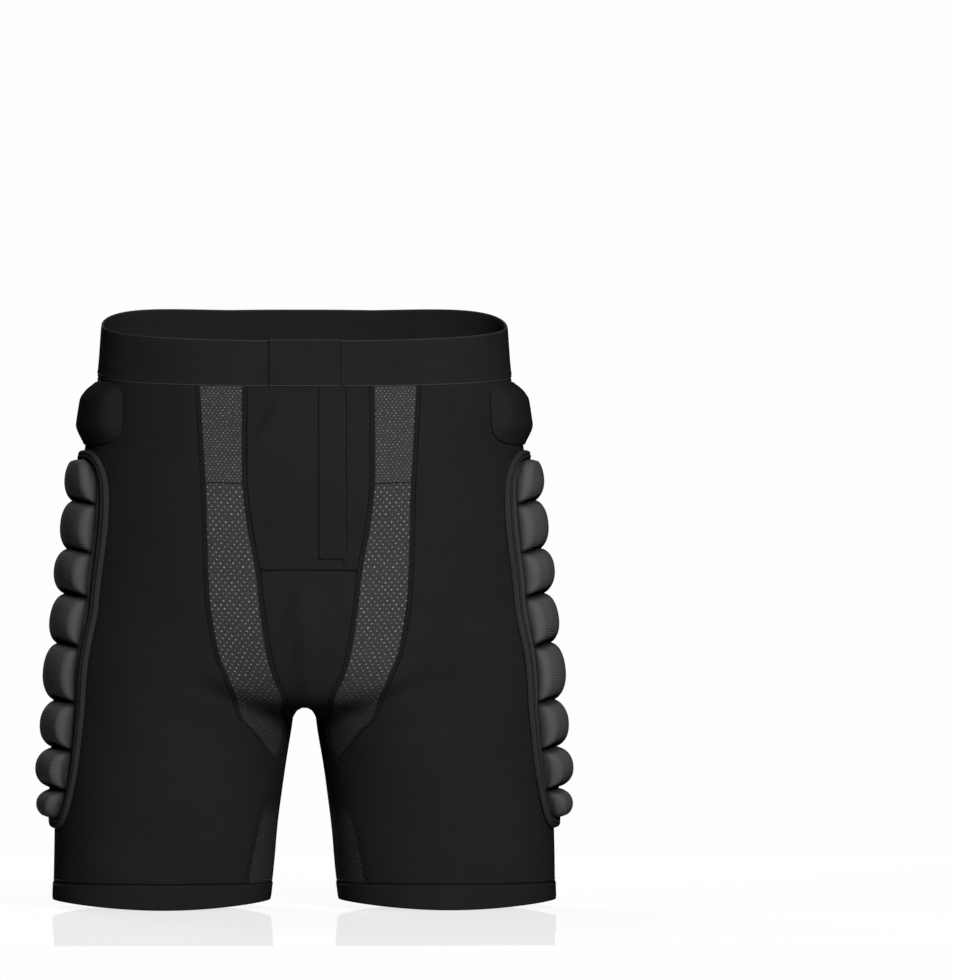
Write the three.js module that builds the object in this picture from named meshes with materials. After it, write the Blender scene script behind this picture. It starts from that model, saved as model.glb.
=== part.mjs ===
// Padded protective shorts: a close-fitting shell of stretch cloth with moulded pads on the outside.
// Millimetres, +Z up. +X is the wearer's left and +Y the wearer's back. The origin is the middle of the
// waist opening, level with the rim at the two sides.

import * as THREE from 'three';

// The body that the shorts are cut for
const waistWidth = 344;
const waistFront = 105;
const waistBack = 110;
const hipWidth = 402;
const hipFront = 118;
const seatBack = 138;
const rise = 328;
const legLength = 167;
const crotchGap = 18;
const hemGap = 60;
const hemWidth = 428;
const thighFront = 96;
const thighBack = 114;
const hemFront = 84;
const hemBack = 92;
const pouchBulge = 7;
const pouchHalfWidth = 40;

// Cloth
const clothWall = 1.5;
const seamGap = 0.3;
const bandHeight = 43.4;
const bandWall = 2.4;
const rimRise = 14.5;
const bandEdgeRise = 9.5;
const hemHeight = 22;
const hemWall = 2.2;
const hemSweep = 7;
const patchWidth = 61;
const patchOffset = -3;
const placketWidth = 24;
const placketOffset = 20;
const placketLength = 140;
const placketDrop = 6;
const patchMargin = 2;
const trimWall = 1;

// Pads
const padSeat = 1.3;
const bindingSeat = 1.8;
const bindingWidth = 5.5;
const bindingHeight = 5.5;
const padWall = 4;
const tailPadWidth = 298;
const tailPadTop = 52;
const tailPadLength = 267;
const tailBlockHeight = 11;
const thighPadTop = 168;
const thighPadLength = 231;
const thighBlockHeight = 12;
const sidePadTop = 109;
const sidePadLength = 316;
const sidePadWall = 6.5;
const lobeHeight = 17.5;
const lobeChevron = 7;
const crestPadTop = 49;
const crestPadHeight = 53;
const crestPadWall = 3;
const crestPadThickness = 11;
const crestPadMargin = 2;
const channelWidth = 7;
const rimMargin = 4.5;
const blockChamfer = 3;
const lobeChamfer = 4;
const crestChamfer = 6;

// Lengths of the edges that curved solids are divided into
const finePitch = 24;
const bindingPitch = 18;
const outlineSamples = 64;
const outlineBend = 0.00005;

// Sections of the torso. down: share of the rise. toHip, toBelly, toSeat: how far the width, front and back
// have gone from the waist to the hip. corner: exponent of the outline.
const torsoSections = [
  { down: -0.08, toHip: -0.06, toBelly: -0.1, toSeat: -0.08, corner: 2.45 },
  { down: 0, toHip: 0, toBelly: 0, toSeat: 0, corner: 2.45 },
  { down: 0.14, toHip: 0.13, toBelly: 0.2, toSeat: 0.16, corner: 2.4 },
  { down: 0.18, toHip: 0.26, toBelly: 0.4, toSeat: 0.3, corner: 2.35 },
  { down: 0.32, toHip: 0.5, toBelly: 0.75, toSeat: 0.62, corner: 2.25 },
  { down: 0.46, toHip: 0.71, toBelly: 1, toSeat: 0.9, corner: 2.2 },
  { down: 0.6, toHip: 0.87, toBelly: 1.05, toSeat: 1, corner: 2.2 },
  { down: 0.72, toHip: 1, toBelly: 0.95, toSeat: 0.95, corner: 2.2 },
  { down: 0.86, toHip: 1.16, toBelly: 0.5, toSeat: 0.62, corner: 2.2 },
  { down: 1, toHip: 1.25, toBelly: -0.2, toSeat: 0.1, corner: 2.2 },
  { down: 1.2, toHip: 1.3, toBelly: -1, toSeat: -0.6, corner: 2.2 },
];

// Sections of a leg. down: share of the leg, 0 at the crotch. toHem: how far each side has gone from the
// crotch to the hem. outward: share of the hem's half width that the outer side reaches.
const legSections = [
  { down: -0.8, toHem: -0.5, outward: 0.9, depth: -0.3 },
  { down: 0, toHem: 0, outward: 0.972, depth: 0 },
  { down: 0.38, toHem: 0.46, outward: 0.989, depth: 0.42 },
  { down: 1, toHem: 1, outward: 1, depth: 1 },
  { down: 1.2, toHem: 1.15, outward: 1.004, depth: 1.15 },
];
const legCorner = 2.15;

// Rows where the panels are divided. down: share of the rise. outer, inner: the mesh strip's two seams at
// the front, and back: the seam at the back, as shares of half the hip width.
const torsoRows = [
  { down: 0.132, outer: 0.474, inner: 0.256, back: 0 },
  { down: 0.23, outer: 0.464, inner: 0.259, back: 0 },
  { down: 0.32, outer: 0.456, inner: 0.259, back: 0 },
  { down: 0.412, outer: 0.448, inner: 0.257, back: 0 },
  { down: 0.52, outer: 0.443, inner: 0.236, back: 0 },
  { down: 0.634, outer: 0.438, inner: 0.204, back: 0 },
  { down: 0.729, outer: 0.428, inner: 0.187, back: 0 },
  { down: 0.848, outer: 0.393, inner: 0.157, back: 0 },
  { down: 0.909, outer: 0.353, inner: 0.13, back: 0 },
  { down: 0.966, outer: 0.318, inner: 0.09, back: 0.008 },
];
// Rows below them. down: share of the leg below the crotch. outer: the strip's outer seam, as a share of
// half the hip width. front, back: the seams of the inner thigh panel, in degrees from the inmost line.
const legRows = [
  { down: 0.035, outer: 0.284, front: 25, back: 25 },
  { down: 0.085, outer: 0.241, front: 22, back: 27 },
  { down: 0.176, outer: 0.179, front: 23, back: 30 },
  { down: 0.24, outer: 0.14, front: 28, back: 32 },
  { down: 0.405, outer: 0, front: 33, back: 36 },
  { down: 0.57, outer: 0, front: 37, back: 39 },
  { down: 0.73, outer: 0, front: 40, back: 41 },
];
const stripEndRow = 3;
const stripEndWidth = 1.5;
const placketRow = 5;

// Steps across the panels
const legPanelSteps = 17;
const frontSteps = 6;
const stripSteps = 3;
const innerThighSteps = 6;
const hemSteps = 24;
const bandSteps = 48;
const rayReach = 320;

const mix = (a, b, t) => a + (b - a) * t;
const radians = (degrees) => (degrees * Math.PI) / 180;

// Reads a column of a table at a place between its rows, along a smooth curve.
function column(table, key, at) {
  let i = 0;
  while (i < table.length - 2 && table[i + 1][at.key] < at.value) i += 1;
  const slope = (k) => {
    const a = table[Math.max(k - 1, 0)];
    const b = table[Math.min(k + 1, table.length - 1)];
    return (b[key] - a[key]) / (b[at.key] - a[at.key]);
  };
  const low = table[i];
  const high = table[i + 1];
  const span = high[at.key] - low[at.key];
  const t = Math.min(Math.max((at.value - low[at.key]) / span, 0), 1);
  const t2 = t * t;
  const t3 = t2 * t;
  return (2 * t3 - 3 * t2 + 1) * low[key] + (t3 - 2 * t2 + t) * span * slope(i)
    + (3 * t2 - 2 * t3) * high[key] + (t3 - t2) * span * slope(i + 1);
}

// How far a point lies outside a superellipse section, roughly in millimetres.
function outside(x, y, width, depth, corner) {
  const r = (Math.abs(x / width) ** corner + Math.abs(y / depth) ** corner) ** (1 / corner);
  return (r - 1) * Math.min(width, depth);
}

function smoothMin(a, b, soft) {
  const h = Math.max(soft - Math.abs(a - b), 0) / soft;
  return Math.min(a, b) - (h * h * soft) / 4;
}
const smoothMax = (a, b, soft) => -smoothMin(-a, -b, soft);

// How the torso and legs run together. The shares are of the rise.
const crotchBlend = 14;
const saddleBlend = 30;
const saddleDrop = 4;
const limbStart = 0.72;
const limbBlend = 60;
const pouchLevel = 0.82;
const pouchReach = 0.15;
const torsoAxis = 0.55;
const undersideStart = 0.8;

function legAt(z) {
  const at = { key: 'down', value: (-z - rise) / legLength };
  const toHem = column(legSections, 'toHem', at);
  const depth = column(legSections, 'depth', at);
  const inner = mix(crotchGap, hemGap, toHem) / 2;
  const outer = (column(legSections, 'outward', at) * hemWidth) / 2;
  return {
    middle: (inner + outer) / 2,
    half: (outer - inner) / 2,
    front: mix(thighFront, hemFront, depth),
    back: mix(thighBack, hemBack, depth),
  };
}

// The outer face of the cloth: below 0 inside it, above 0 outside.
function body(x, y, z) {
  const at = { key: 'down', value: -z / rise };
  const width = mix(waistWidth, hipWidth, column(torsoSections, 'toHip', at)) / 2;
  const fullness = Math.exp(-((x / pouchHalfWidth) ** 2) - ((z / rise + pouchLevel) / pouchReach) ** 2);
  const front = mix(waistFront, hipFront, column(torsoSections, 'toBelly', at)) + pouchBulge * fullness;
  const back = mix(waistBack, seatBack, column(torsoSections, 'toSeat', at));
  const corner = column(torsoSections, 'corner', at);
  const torso = outside(x, y, width, y < 0 ? front : back, corner);
  const floor = -rise + saddleDrop - z;
  const leg = legAt(z);
  const limb = outside(Math.abs(x) - leg.middle, y, leg.half, y < 0 ? leg.front : leg.back, legCorner);
  const limbTop = z + limbStart * rise;
  return smoothMin(smoothMax(torso, floor, saddleBlend), smoothMax(limb, limbTop, limbBlend), crotchBlend);
}

function normal(p) {
  const e = 0.5;
  return new THREE.Vector3(
    body(p.x + e, p.y, p.z) - body(p.x - e, p.y, p.z),
    body(p.x, p.y + e, p.z) - body(p.x, p.y - e, p.z),
    body(p.x, p.y, p.z + e) - body(p.x, p.y, p.z - e),
  ).normalize();
}

// The place where a ray from a point inside leaves the body.
function leave(from, way) {
  let near = 0;
  let far = 1;
  const at = new THREE.Vector3();
  const there = (t) => at.copy(way).multiplyScalar(t * rayReach).add(from);
  for (let step = 0.02; step < 1; step += 0.02) {
    there(step);
    if (body(at.x, at.y, at.z) > 0) {
      far = step;
      break;
    }
    near = step;
  }
  for (let i = 0; i < 30; i += 1) {
    const t = (near + far) / 2;
    there(t);
    if (body(at.x, at.y, at.z) > 0) far = t;
    else near = t;
  }
  return there((near + far) / 2).clone();
}

// Points of the body by place: on the front or back at x and z, and by angle about a half's own axis.
const frontAt = (x, z) => leave(new THREE.Vector3(x, 0, z), new THREE.Vector3(0, -1, 0));
const backAt = (x, z) => leave(new THREE.Vector3(x, 0, z), new THREE.Vector3(0, 1, 0));

// The axis that a half's panels are divided about moves out from the torso to the middle of the leg.
function axisAt(z) {
  const leg = legAt(Math.min(z, -rise));
  const share = Math.min(Math.max(-z / rise, 0), 1);
  return new THREE.Vector3(mix(leg.middle * torsoAxis, leg.middle, share), 0, z);
}

function around(angle, z) {
  return leave(axisAt(z), new THREE.Vector3(Math.cos(angle), Math.sin(angle), 0));
}

const angleOf = (p) => {
  const axis = axisAt(p.z);
  return Math.atan2(p.y - axis.y, p.x - axis.x);
};

// A point found on a level that rises toward the back, as the rim and the band's lower edge do.
function onRise(level, climb, find) {
  let p = find(level);
  for (let i = 0; i < 4; i += 1) p = find(level + (climb * p.y) / waistFront);
  return p;
}
const levelOf = (p, climb) => p.z - (climb * p.y) / waistFront;

// A grid of points as a closed sheet of cloth. rows: points on the body, rows[j][i]. lift: how far the
// outer face stands off the body. closed: whether the last column joins the first.
function sheet(name, rows, wall, lift, closed) {
  const count = rows[0].length;
  const down = rows.length;
  const positions = [];
  const faces = [];
  for (const depth of [lift, lift - wall]) {
    for (const row of rows) {
      for (const p of row) {
        positions.push(p.clone().addScaledVector(normal(p), depth));
      }
    }
  }
  const at = (layer, j, i) => layer * count * down + j * count + (i % count);
  const across = closed ? count : count - 1;
  const quad = (a, b, c, d) => faces.push([a, b, c], [a, c, d]);
  for (let j = 0; j < down - 1; j += 1) {
    for (let i = 0; i < across; i += 1) {
      quad(at(0, j, i), at(0, j + 1, i), at(0, j + 1, i + 1), at(0, j, i + 1));
      quad(at(1, j, i), at(1, j, i + 1), at(1, j + 1, i + 1), at(1, j + 1, i));
    }
  }
  for (let i = 0; i < across; i += 1) {
    quad(at(0, 0, i), at(0, 0, i + 1), at(1, 0, i + 1), at(1, 0, i));
    quad(at(0, down - 1, i + 1), at(0, down - 1, i), at(1, down - 1, i), at(1, down - 1, i + 1));
  }
  // The edges of two neighbours are split the same way, from the lower outer corner, so that they match.
  const rim = (a, b, c, d) => (positions[a].z < positions[b].z ? quad(a, b, c, d) : quad(b, c, d, a));
  if (!closed) {
    for (let j = 0; j < down - 1; j += 1) {
      rim(at(0, j + 1, 0), at(0, j, 0), at(1, j, 0), at(1, j + 1, 0));
      rim(at(0, j, count - 1), at(0, j + 1, count - 1), at(1, j + 1, count - 1), at(1, j, count - 1));
    }
  }
  return solid(name, positions, faces);
}

// Moves a grid's edges in by half the seam's gap, so that neighbours cut on one seam stay clear.
function trimmed(rows, closed) {
  const half = seamGap / 2;
  const moved = rows.map((row) => row.map((p) => p.clone()));
  const pull = (target, p, q) => target.addScaledVector(q.clone().sub(p).normalize(), half);
  const last = rows.length - 1;
  for (let i = 0; i < rows[0].length; i += 1) {
    pull(moved[0][i], rows[0][i], rows[1][i]);
    pull(moved[last][i], rows[last][i], rows[last - 1][i]);
  }
  if (!closed) {
    rows.forEach((row, j) => {
      const end = row.length - 1;
      pull(moved[j][0], row[0], row[1]);
      pull(moved[j][end], row[end], row[end - 1]);
    });
  }
  return moved;
}

// Closed mesh from points and triangles, turned so that its faces point out.
function solid(name, positions, faces) {
  let volume = 0;
  const cross = new THREE.Vector3();
  for (const [a, b, c] of faces) {
    volume += positions[a].dot(cross.crossVectors(positions[b], positions[c]));
  }
  const geometry = new THREE.BufferGeometry();
  const flat = new Float32Array(positions.length * 3);
  positions.forEach((p, i) => p.toArray(flat, i * 3));
  geometry.setAttribute('position', new THREE.BufferAttribute(flat, 3));
  geometry.setIndex(faces.flatMap(([a, b, c]) => (volume > 0 ? [a, b, c] : [a, c, b])));
  geometry.computeVertexNormals();
  const mesh = new THREE.Mesh(geometry);
  mesh.name = name;
  return mesh;
}

// The same rows on the wearer's right, in the order that keeps the faces' sense.
const mirroredPoint = (p) => new THREE.Vector3(-p.x, p.y, p.z);
const mirroredRows = (rows) => rows.map((row) => row.map(mirroredPoint).reverse());

// Seams of the left half: points that the panels on both sides share.
const halfHip = hipWidth / 2;
const bandEdge = -bandHeight;

// How much a row of the panels still climbs toward the back: the band's lower edge fades to level.
const climbOf = (index) => bandEdgeRise * Math.max(0, 1 - index / placketRow);

function torsoPoint(row, index, find, share) {
  const x = Math.max(share * halfHip, 0.001);
  const level = index === 0 ? bandEdge : -row.down * rise;
  return onRise(level, climbOf(index), (z) => find(x, z));
}

const legLevel = (row) => -rise - row.down * legLength;
const hemTop = -rise - legLength + hemHeight;
const inmost = (degrees, z) => around(Math.PI - radians(degrees), z);

const outerSeam = torsoRows.map((row, i) => torsoPoint(row, i, frontAt, row.outer));
const innerSeam = torsoRows.map((row, i) => torsoPoint(row, i, frontAt, row.inner));
const backSeam = torsoRows.map((row, i) => torsoPoint(row, i, backAt, row.back));
const thighFrontSeam = legRows.map((row) => inmost(-row.front, legLevel(row)));
const thighBackSeam = legRows.map((row) => inmost(row.back, legLevel(row)));
const lastRow = legRows[legRows.length - 1];
thighFrontSeam.push(inmost(-lastRow.front - 1, hemTop));
thighBackSeam.push(inmost(lastRow.back + 1, hemTop));
legRows.forEach((row, i) => {
  if (i < stripEndRow) outerSeam.push(frontAt(row.outer * halfHip, legLevel(row)));
  else {
    const seam = thighFrontSeam[i].clone();
    if (i === stripEndRow) seam.x += stripEndWidth;
    outerSeam.push(i === stripEndRow ? frontAt(seam.x, seam.z) : seam);
  }
});
outerSeam.push(thighFrontSeam[thighFrontSeam.length - 1]);

// A row of points about the half's axis between two points of its seams.
function sweep(from, to, steps, turn, climb = 0) {
  const start = angleOf(from);
  let end = angleOf(to);
  if (turn > 0) while (end < start) end += 2 * Math.PI;
  else while (end > start) end -= 2 * Math.PI;
  const row = [];
  for (let i = 0; i <= steps; i += 1) {
    const t = i / steps;
    if (i === 0) row.push(from.clone());
    else if (i === steps) row.push(to.clone());
    else {
      const level = mix(levelOf(from, climb), levelOf(to, climb), t);
      row.push(onRise(level, climb, (z) => around(mix(start, end, t), z)));
    }
  }
  return row;
}

// A row across the front between two points of its seams.
function cross(from, to, steps, find, climb = 0) {
  const row = [];
  for (let i = 0; i <= steps; i += 1) {
    const t = i / steps;
    if (i === 0) row.push(from.clone());
    else if (i === steps) row.push(to.clone());
    else {
      const level = mix(levelOf(from, climb), levelOf(to, climb), t);
      row.push(onRise(level, climb, (z) => find(mix(from.x, to.x, t), mix(from.y, to.y, t), z)));
    }
  }
  return row;
}

const onFront = (x, y, z) => frontAt(x, z);
const underside = (x, y) => (
  leave(new THREE.Vector3(x, y, -undersideStart * rise), new THREE.Vector3(0, 0, -1))
);

// The main panels: from the mesh strip round the side to the back, and down to the hem.
function legPanelRows() {
  const ends = backSeam.concat(thighBackSeam);
  return outerSeam.map((from, i) => sweep(from, ends[i], legPanelSteps, 1, climbOf(i)));
}

function meshStripRows() {
  const ends = innerSeam.concat(thighFrontSeam.slice(0, stripEndRow + 1));
  return ends.map((from, i) => {
    const to = outerSeam[i];
    const level = i < torsoRows.length;
    return level ? cross(from, to, stripSteps, onFront, climbOf(i)) : sweep(from, to, stripSteps, 1);
  });
}

function innerThighRows() {
  return thighFrontSeam.map((from, i) => sweep(from, thighBackSeam[i], innerThighSteps, -1));
}

function centreFrontRows() {
  const seam = innerSeam.slice(0, placketRow + 1);
  return seam.map((p, i) => cross(mirroredPoint(p), p, frontSteps, onFront, climbOf(i)));
}

// The pouch goes down the front, under the crotch between the inner thigh panels, and ends in a point
// where the two main panels meet.
function pouchRows() {
  const rows = innerSeam.slice(placketRow).map((p) => cross(mirroredPoint(p), p, frontSteps, onFront));
  const side = sweep(thighFrontSeam[0], thighBackSeam[0], innerThighSteps, -1);
  for (const p of side) rows.push(cross(mirroredPoint(p), p, frontSteps, underside));
  const end = backSeam[backSeam.length - 1];
  rows.push(cross(mirroredPoint(end), end, frontSteps, (x, y, z) => backAt(x, z)));
  return rows;
}

// Rings: the band about the waist and the hems about the legs.
function ringRows(steps, levels, point) {
  return levels.map((level) => {
    const row = [];
    for (let i = 0; i < steps; i += 1) row.push(point(-(2 * Math.PI * i) / steps, level));
    return row;
  });
}

function waistPoint(angle, level) {
  const way = new THREE.Vector3(Math.cos(angle), Math.sin(angle), 0);
  return onRise(level.z, level.climb, (z) => leave(new THREE.Vector3(0, 0, z), way));
}

const bandLevels = [
  { z: 0, climb: rimRise },
  { z: -bandHeight / 2, climb: (rimRise + bandEdgeRise) / 2 },
  { z: -bandHeight, climb: bandEdgeRise },
];

function hemPoint(angle, share) {
  const low = hemTop - hemHeight - hemSweep * Math.sin(angle) ** 2 + hemSweep;
  const leg = legAt(hemTop);
  const from = new THREE.Vector3(leg.middle, 0, mix(hemTop, low, share));
  return leave(from, new THREE.Vector3(Math.cos(angle), Math.sin(angle), 0));
}

// Trims on the front: a patch over the band's overlap and the doubled strip beside the fly.
function trimRows(left, right, levels, climb, steps) {
  return levels.map((z) => {
    const row = [];
    for (let i = 0; i <= steps; i += 1) {
      row.push(onRise(z, climb, (level) => frontAt(mix(left, right, i / steps), level)));
    }
    return row;
  });
}

// Pads. An outline and the blocks on it are drawn in a flat pattern and laid on the body by place(a, b, h):
// a runs to the outside or back, b up, and h is the height off the body.

// Outline through table points as a smooth closed line, sampled evenly.
function smoothOutline(points, pitch) {
  const knots = points.map(([a, b]) => new THREE.Vector3(a, b, 0));
  const curve = new THREE.CatmullRomCurve3(knots, true, 'centripetal');
  const count = Math.ceil(curve.getLength() / pitch);
  return curve.getSpacedPoints(count).slice(0, count).map((p) => new THREE.Vector2(p.x, p.y));
}

function clockwise(outline) {
  return THREE.ShapeUtils.isClockWise(outline) ? outline : outline.slice().reverse();
}

// Drops the points of an outline that lie on a straight stretch of it.
function corners(outline) {
  const count = outline.length;
  return outline.filter((p, i) => {
    const before = p.clone().sub(outline[(i + count - 1) % count]);
    const after = outline[(i + 1) % count].clone().sub(p);
    return Math.abs(before.cross(after)) > 0.01 * before.length() * after.length();
  });
}

// Moves each side of an outline in by a distance; a negative one moves it out.
function inset(outline, distance) {
  const line = clockwise(outline);
  const count = line.length;
  return line.map((p, i) => {
    const before = p.clone().sub(line[(i + count - 1) % count]).normalize();
    const after = line[(i + 1) % count].clone().sub(p).normalize();
    const first = new THREE.Vector2(before.y, -before.x);
    const second = new THREE.Vector2(after.y, -after.x);
    const bisector = first.clone().add(second).normalize();
    const stretch = Math.max(bisector.dot(first), 0.5);
    return p.clone().addScaledVector(bisector, distance / stretch);
  });
}

// Triangles of an outline with holes. Points in line with each other are bent apart first, because the
// triangulation would leave them out.
function triangles(outline, holes) {
  const bent = (line) => line.map((p) => (
    new THREE.Vector2(p.x + outlineBend * p.y * p.y, p.y + outlineBend * p.x * p.x)
  ));
  const list = THREE.ShapeUtils.triangulateShape(bent(outline), holes.map(bent));
  return evened([outline, ...holes].flat(), list);
}

// Turns the shared edge of two triangles wherever that makes both less thin.
function evened(points, list) {
  const angle = (at, p, q) => {
    const first = points[p].clone().sub(points[at]);
    return Math.abs(first.angleTo(points[q].clone().sub(points[at])));
  };
  const faces = list.map((t) => t.slice());
  let turned = true;
  for (let round = 0; turned && round < 30; round += 1) {
    turned = false;
    const owner = new Map();
    faces.forEach((t, i) => t.forEach((a, k) => owner.set(`${a},${t[(k + 1) % 3]}`, i)));
    const busy = new Set();
    faces.forEach((t, i) => {
      for (let k = 0; k < 3; k += 1) {
        const [a, b, c] = [faces[i][k], faces[i][(k + 1) % 3], faces[i][(k + 2) % 3]];
        const j = owner.get(`${b},${a}`);
        if (j !== undefined && !busy.has(i) && !busy.has(j)) {
          const d = faces[j].find((q) => q !== a && q !== b);
          if (angle(c, a, b) + angle(d, a, b) > Math.PI + 1e-6) {
            faces[i] = [a, d, c];
            faces[j] = [d, b, c];
            busy.add(i).add(j);
            turned = true;
          }
        }
      }
    });
  }
  return faces;
}

// Builds a pad: an outline with a flat floor, and raised blocks with chamfered edges standing on it.
function pad(name, outline, blocks, size, place) {
  const points = [];
  const faces = [];
  const put = (p, h) => points.push({ a: p.x, b: p.y, h }) - 1;
  const loop = (line, h) => line.map((p) => put(p, h));
  const wall = (lower, upper) => lower.forEach((low, i) => {
    const next = (i + 1) % lower.length;
    faces.push([low, lower[next], upper[next]], [low, upper[next], upper[i]]);
  });
  const edge = clockwise(outline);
  const under = loop(edge, size.under);
  const floor = loop(edge, size.floor);
  for (const t of triangles(edge, [])) faces.push(t.map((k) => under[k]));
  wall(under, floor);
  const feet = blocks.map((line) => clockwise(corners(line)));
  const rings = feet.map((foot) => loop(foot, size.floor));
  const all = [floor, ...rings].flat();
  for (const t of triangles(edge, feet)) faces.push(t.map((k) => all[k]).reverse());
  feet.forEach((foot, i) => {
    const top = inset(foot, size.chamfer);
    const cap = loop(top, size.top);
    wall(rings[i], cap);
    for (const t of triangles(top, [])) faces.push(t.map((k) => cap[k]).reverse());
  });
  const whole = divided(points, orient(points, faces), size);
  return solid(name, whole.points.map((p) => place(p.a, p.b, p.h)), whole.faces);
}

// Turns every triangle of a closed mesh to agree with its neighbours.
function orient(points, faces) {
  const byEdge = new Map();
  const keyOf = (a, b) => (a < b ? `${a},${b}` : `${b},${a}`);
  faces.forEach((f, i) => {
    for (let k = 0; k < 3; k += 1) {
      const key = keyOf(f[k], f[(k + 1) % 3]);
      byEdge.set(key, [...(byEdge.get(key) ?? []), i]);
    }
  });
  const turned = faces.map((f) => f.slice());
  const done = new Set([0]);
  const queue = [0];
  while (queue.length > 0) {
    const i = queue.pop();
    for (let k = 0; k < 3; k += 1) {
      const a = turned[i][k];
      const b = turned[i][(k + 1) % 3];
      for (const j of byEdge.get(keyOf(a, b))) {
        if (!done.has(j)) {
          const other = turned[j];
          const at = other.indexOf(a);
          if (other[(at + 1) % 3] === b) other.reverse();
          done.add(j);
          queue.push(j);
        }
      }
    }
  }
  return turned;
}

// Halves every edge that is longer than the pitch until none is, so that flat patterns can bend. Upright
// lengths count for less, because the body bends less that way.
function divided(points, faces, { pitch, upright }) {
  const out = points.slice();
  let list = faces;
  const far = (p, q) => Math.hypot(out[p].a - out[q].a, (out[p].b - out[q].b) * upright);
  for (let round = 0; round < 6; round += 1) {
    const middles = new Map();
    const middle = (p, q) => {
      if (far(p, q) <= pitch) return -1;
      const key = p < q ? `${p},${q}` : `${q},${p}`;
      if (!middles.has(key)) {
        const [s, t] = [out[p], out[q]];
        middles.set(key, out.push({ a: (s.a + t.a) / 2, b: (s.b + t.b) / 2, h: (s.h + t.h) / 2 }) - 1);
      }
      return middles.get(key);
    };
    const next = [];
    for (const [p, q, r] of list) {
      const cut = [middle(p, q), middle(q, r), middle(r, p)];
      const count = cut.filter((m) => m >= 0).length;
      if (count === 0) next.push([p, q, r]);
      else if (count === 3) {
        next.push([p, cut[0], cut[2]], [cut[0], q, cut[1]], [cut[2], cut[1], r], [cut[0], cut[1], cut[2]]);
      } else {
        const ring = [p, q, r];
        let k = cut.findIndex((m) => m >= 0);
        if (count === 2 && cut[(k + 1) % 3] < 0) k = (k + 2) % 3;
        const [a, b, c] = [ring[k], ring[(k + 1) % 3], ring[(k + 2) % 3]];
        if (count === 1) next.push([a, cut[k], c], [cut[k], b, c]);
        else {
          const [m, n] = [cut[k], cut[(k + 1) % 3]];
          next.push([m, b, n]);
          if (far(a, n) <= far(m, c)) next.push([a, m, n], [a, n, c]);
          else next.push([a, m, c], [m, n, c]);
        }
      }
    }
    list = next;
    if (middles.size === 0) break;
  }
  return { points: out, faces: list };
}

// A bound edge: a rounded strip in a closed loop about a pad, clear of it by the seam's gap.
function binding(name, outline, size, place) {
  const lines = [
    { line: inset(outline, -seamGap), h: size.under },
    { line: inset(outline, -seamGap - size.width * 0.2), h: size.height },
    { line: inset(outline, -seamGap - size.width * 0.75), h: size.height },
    { line: inset(outline, -seamGap - size.width), h: size.under },
  ];
  const count = outline.length;
  const positions = lines.flatMap(({ line, h }) => line.map((p) => place(p.x, p.y, h)));
  const faces = [];
  for (let k = 0; k < lines.length; k += 1) {
    for (let i = 0; i < count; i += 1) {
      const next = (i + 1) % count;
      const below = ((k + 1) % lines.length) * count;
      faces.push([k * count + i, below + i, below + next], [k * count + i, below + next, k * count + next]);
    }
  }
  return solid(name, positions, faces);
}

const lifted = (p, h) => p.clone().addScaledVector(normal(p), h);
const onBack = (side) => (a, b, h) => {
  const p = backAt(Math.max(Math.abs(a), 0.001) * Math.sign(a || 1) * side, b);
  return lifted(p, h);
};

// Where an outline crosses a height, at its left (-1) or right (1) side.
function crossing(outline, b, side) {
  const heights = outline.map((p) => p.y);
  const level = Math.min(Math.max(b, Math.min(...heights) + 0.1), Math.max(...heights) - 0.1);
  const hits = [];
  outline.forEach((p, i) => {
    const q = outline[(i + 1) % outline.length];
    if ((p.y > level) !== (q.y > level)) hits.push(mix(p.x, q.x, (level - p.y) / (q.y - p.y)));
  });
  return side < 0 ? Math.min(...hits) : Math.max(...hits);
}

// Reads the lines that run down a pad: its rim at a margin, and the channels between its blocks.
function lineReader(table, extent, unit, outline) {
  const rim = inset(outline, rimMargin);
  return (name, b, side) => {
    if (name === 'rimIn') return crossing(rim, b, -1);
    if (name === 'rimOut') return crossing(rim, b, 1);
    const value = (extent.top - b) / extent.length;
    return column(table, name, { key: 'down', value }) * unit + (side * channelWidth) / 2;
  };
}

// A block between two such lines, with slanting top and bottom edges.
function block(row, lineAt, extent) {
  const height = (share) => extent.top - share * extent.length;
  const line = [];
  const steps = row.steps ?? 2;
  for (let i = 0; i <= steps; i += 1) {
    const b = mix(height(row.topIn), height(row.footIn), i / steps);
    line.push(new THREE.Vector2(lineAt(row.from, b, 1), b));
  }
  for (let i = steps; i >= 0; i -= 1) {
    const b = mix(height(row.topOut), height(row.footOut), i / steps);
    line.push(new THREE.Vector2(lineAt(row.to, b, -1), b));
  }
  return line;
}

// Tail pad. Outline of its right half; out: share of half its width, down: share of its length.
const tailOutline = [
  { out: 0, down: 0 },
  { out: 0.42, down: 0.001 },
  { out: 0.65, down: 0.013 },
  { out: 0.82, down: 0.04 },
  { out: 0.93, down: 0.09 },
  { out: 0.98, down: 0.14 },
  { out: 1, down: 0.21 },
  { out: 0.985, down: 0.29 },
  { out: 0.93, down: 0.41 },
  { out: 0.82, down: 0.55 },
  { out: 0.6, down: 0.71 },
  { out: 0.43, down: 0.835 },
  { out: 0.3, down: 0.89 },
  { out: 0.18, down: 0.955 },
  { out: 0.06, down: 1 },
];
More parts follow.
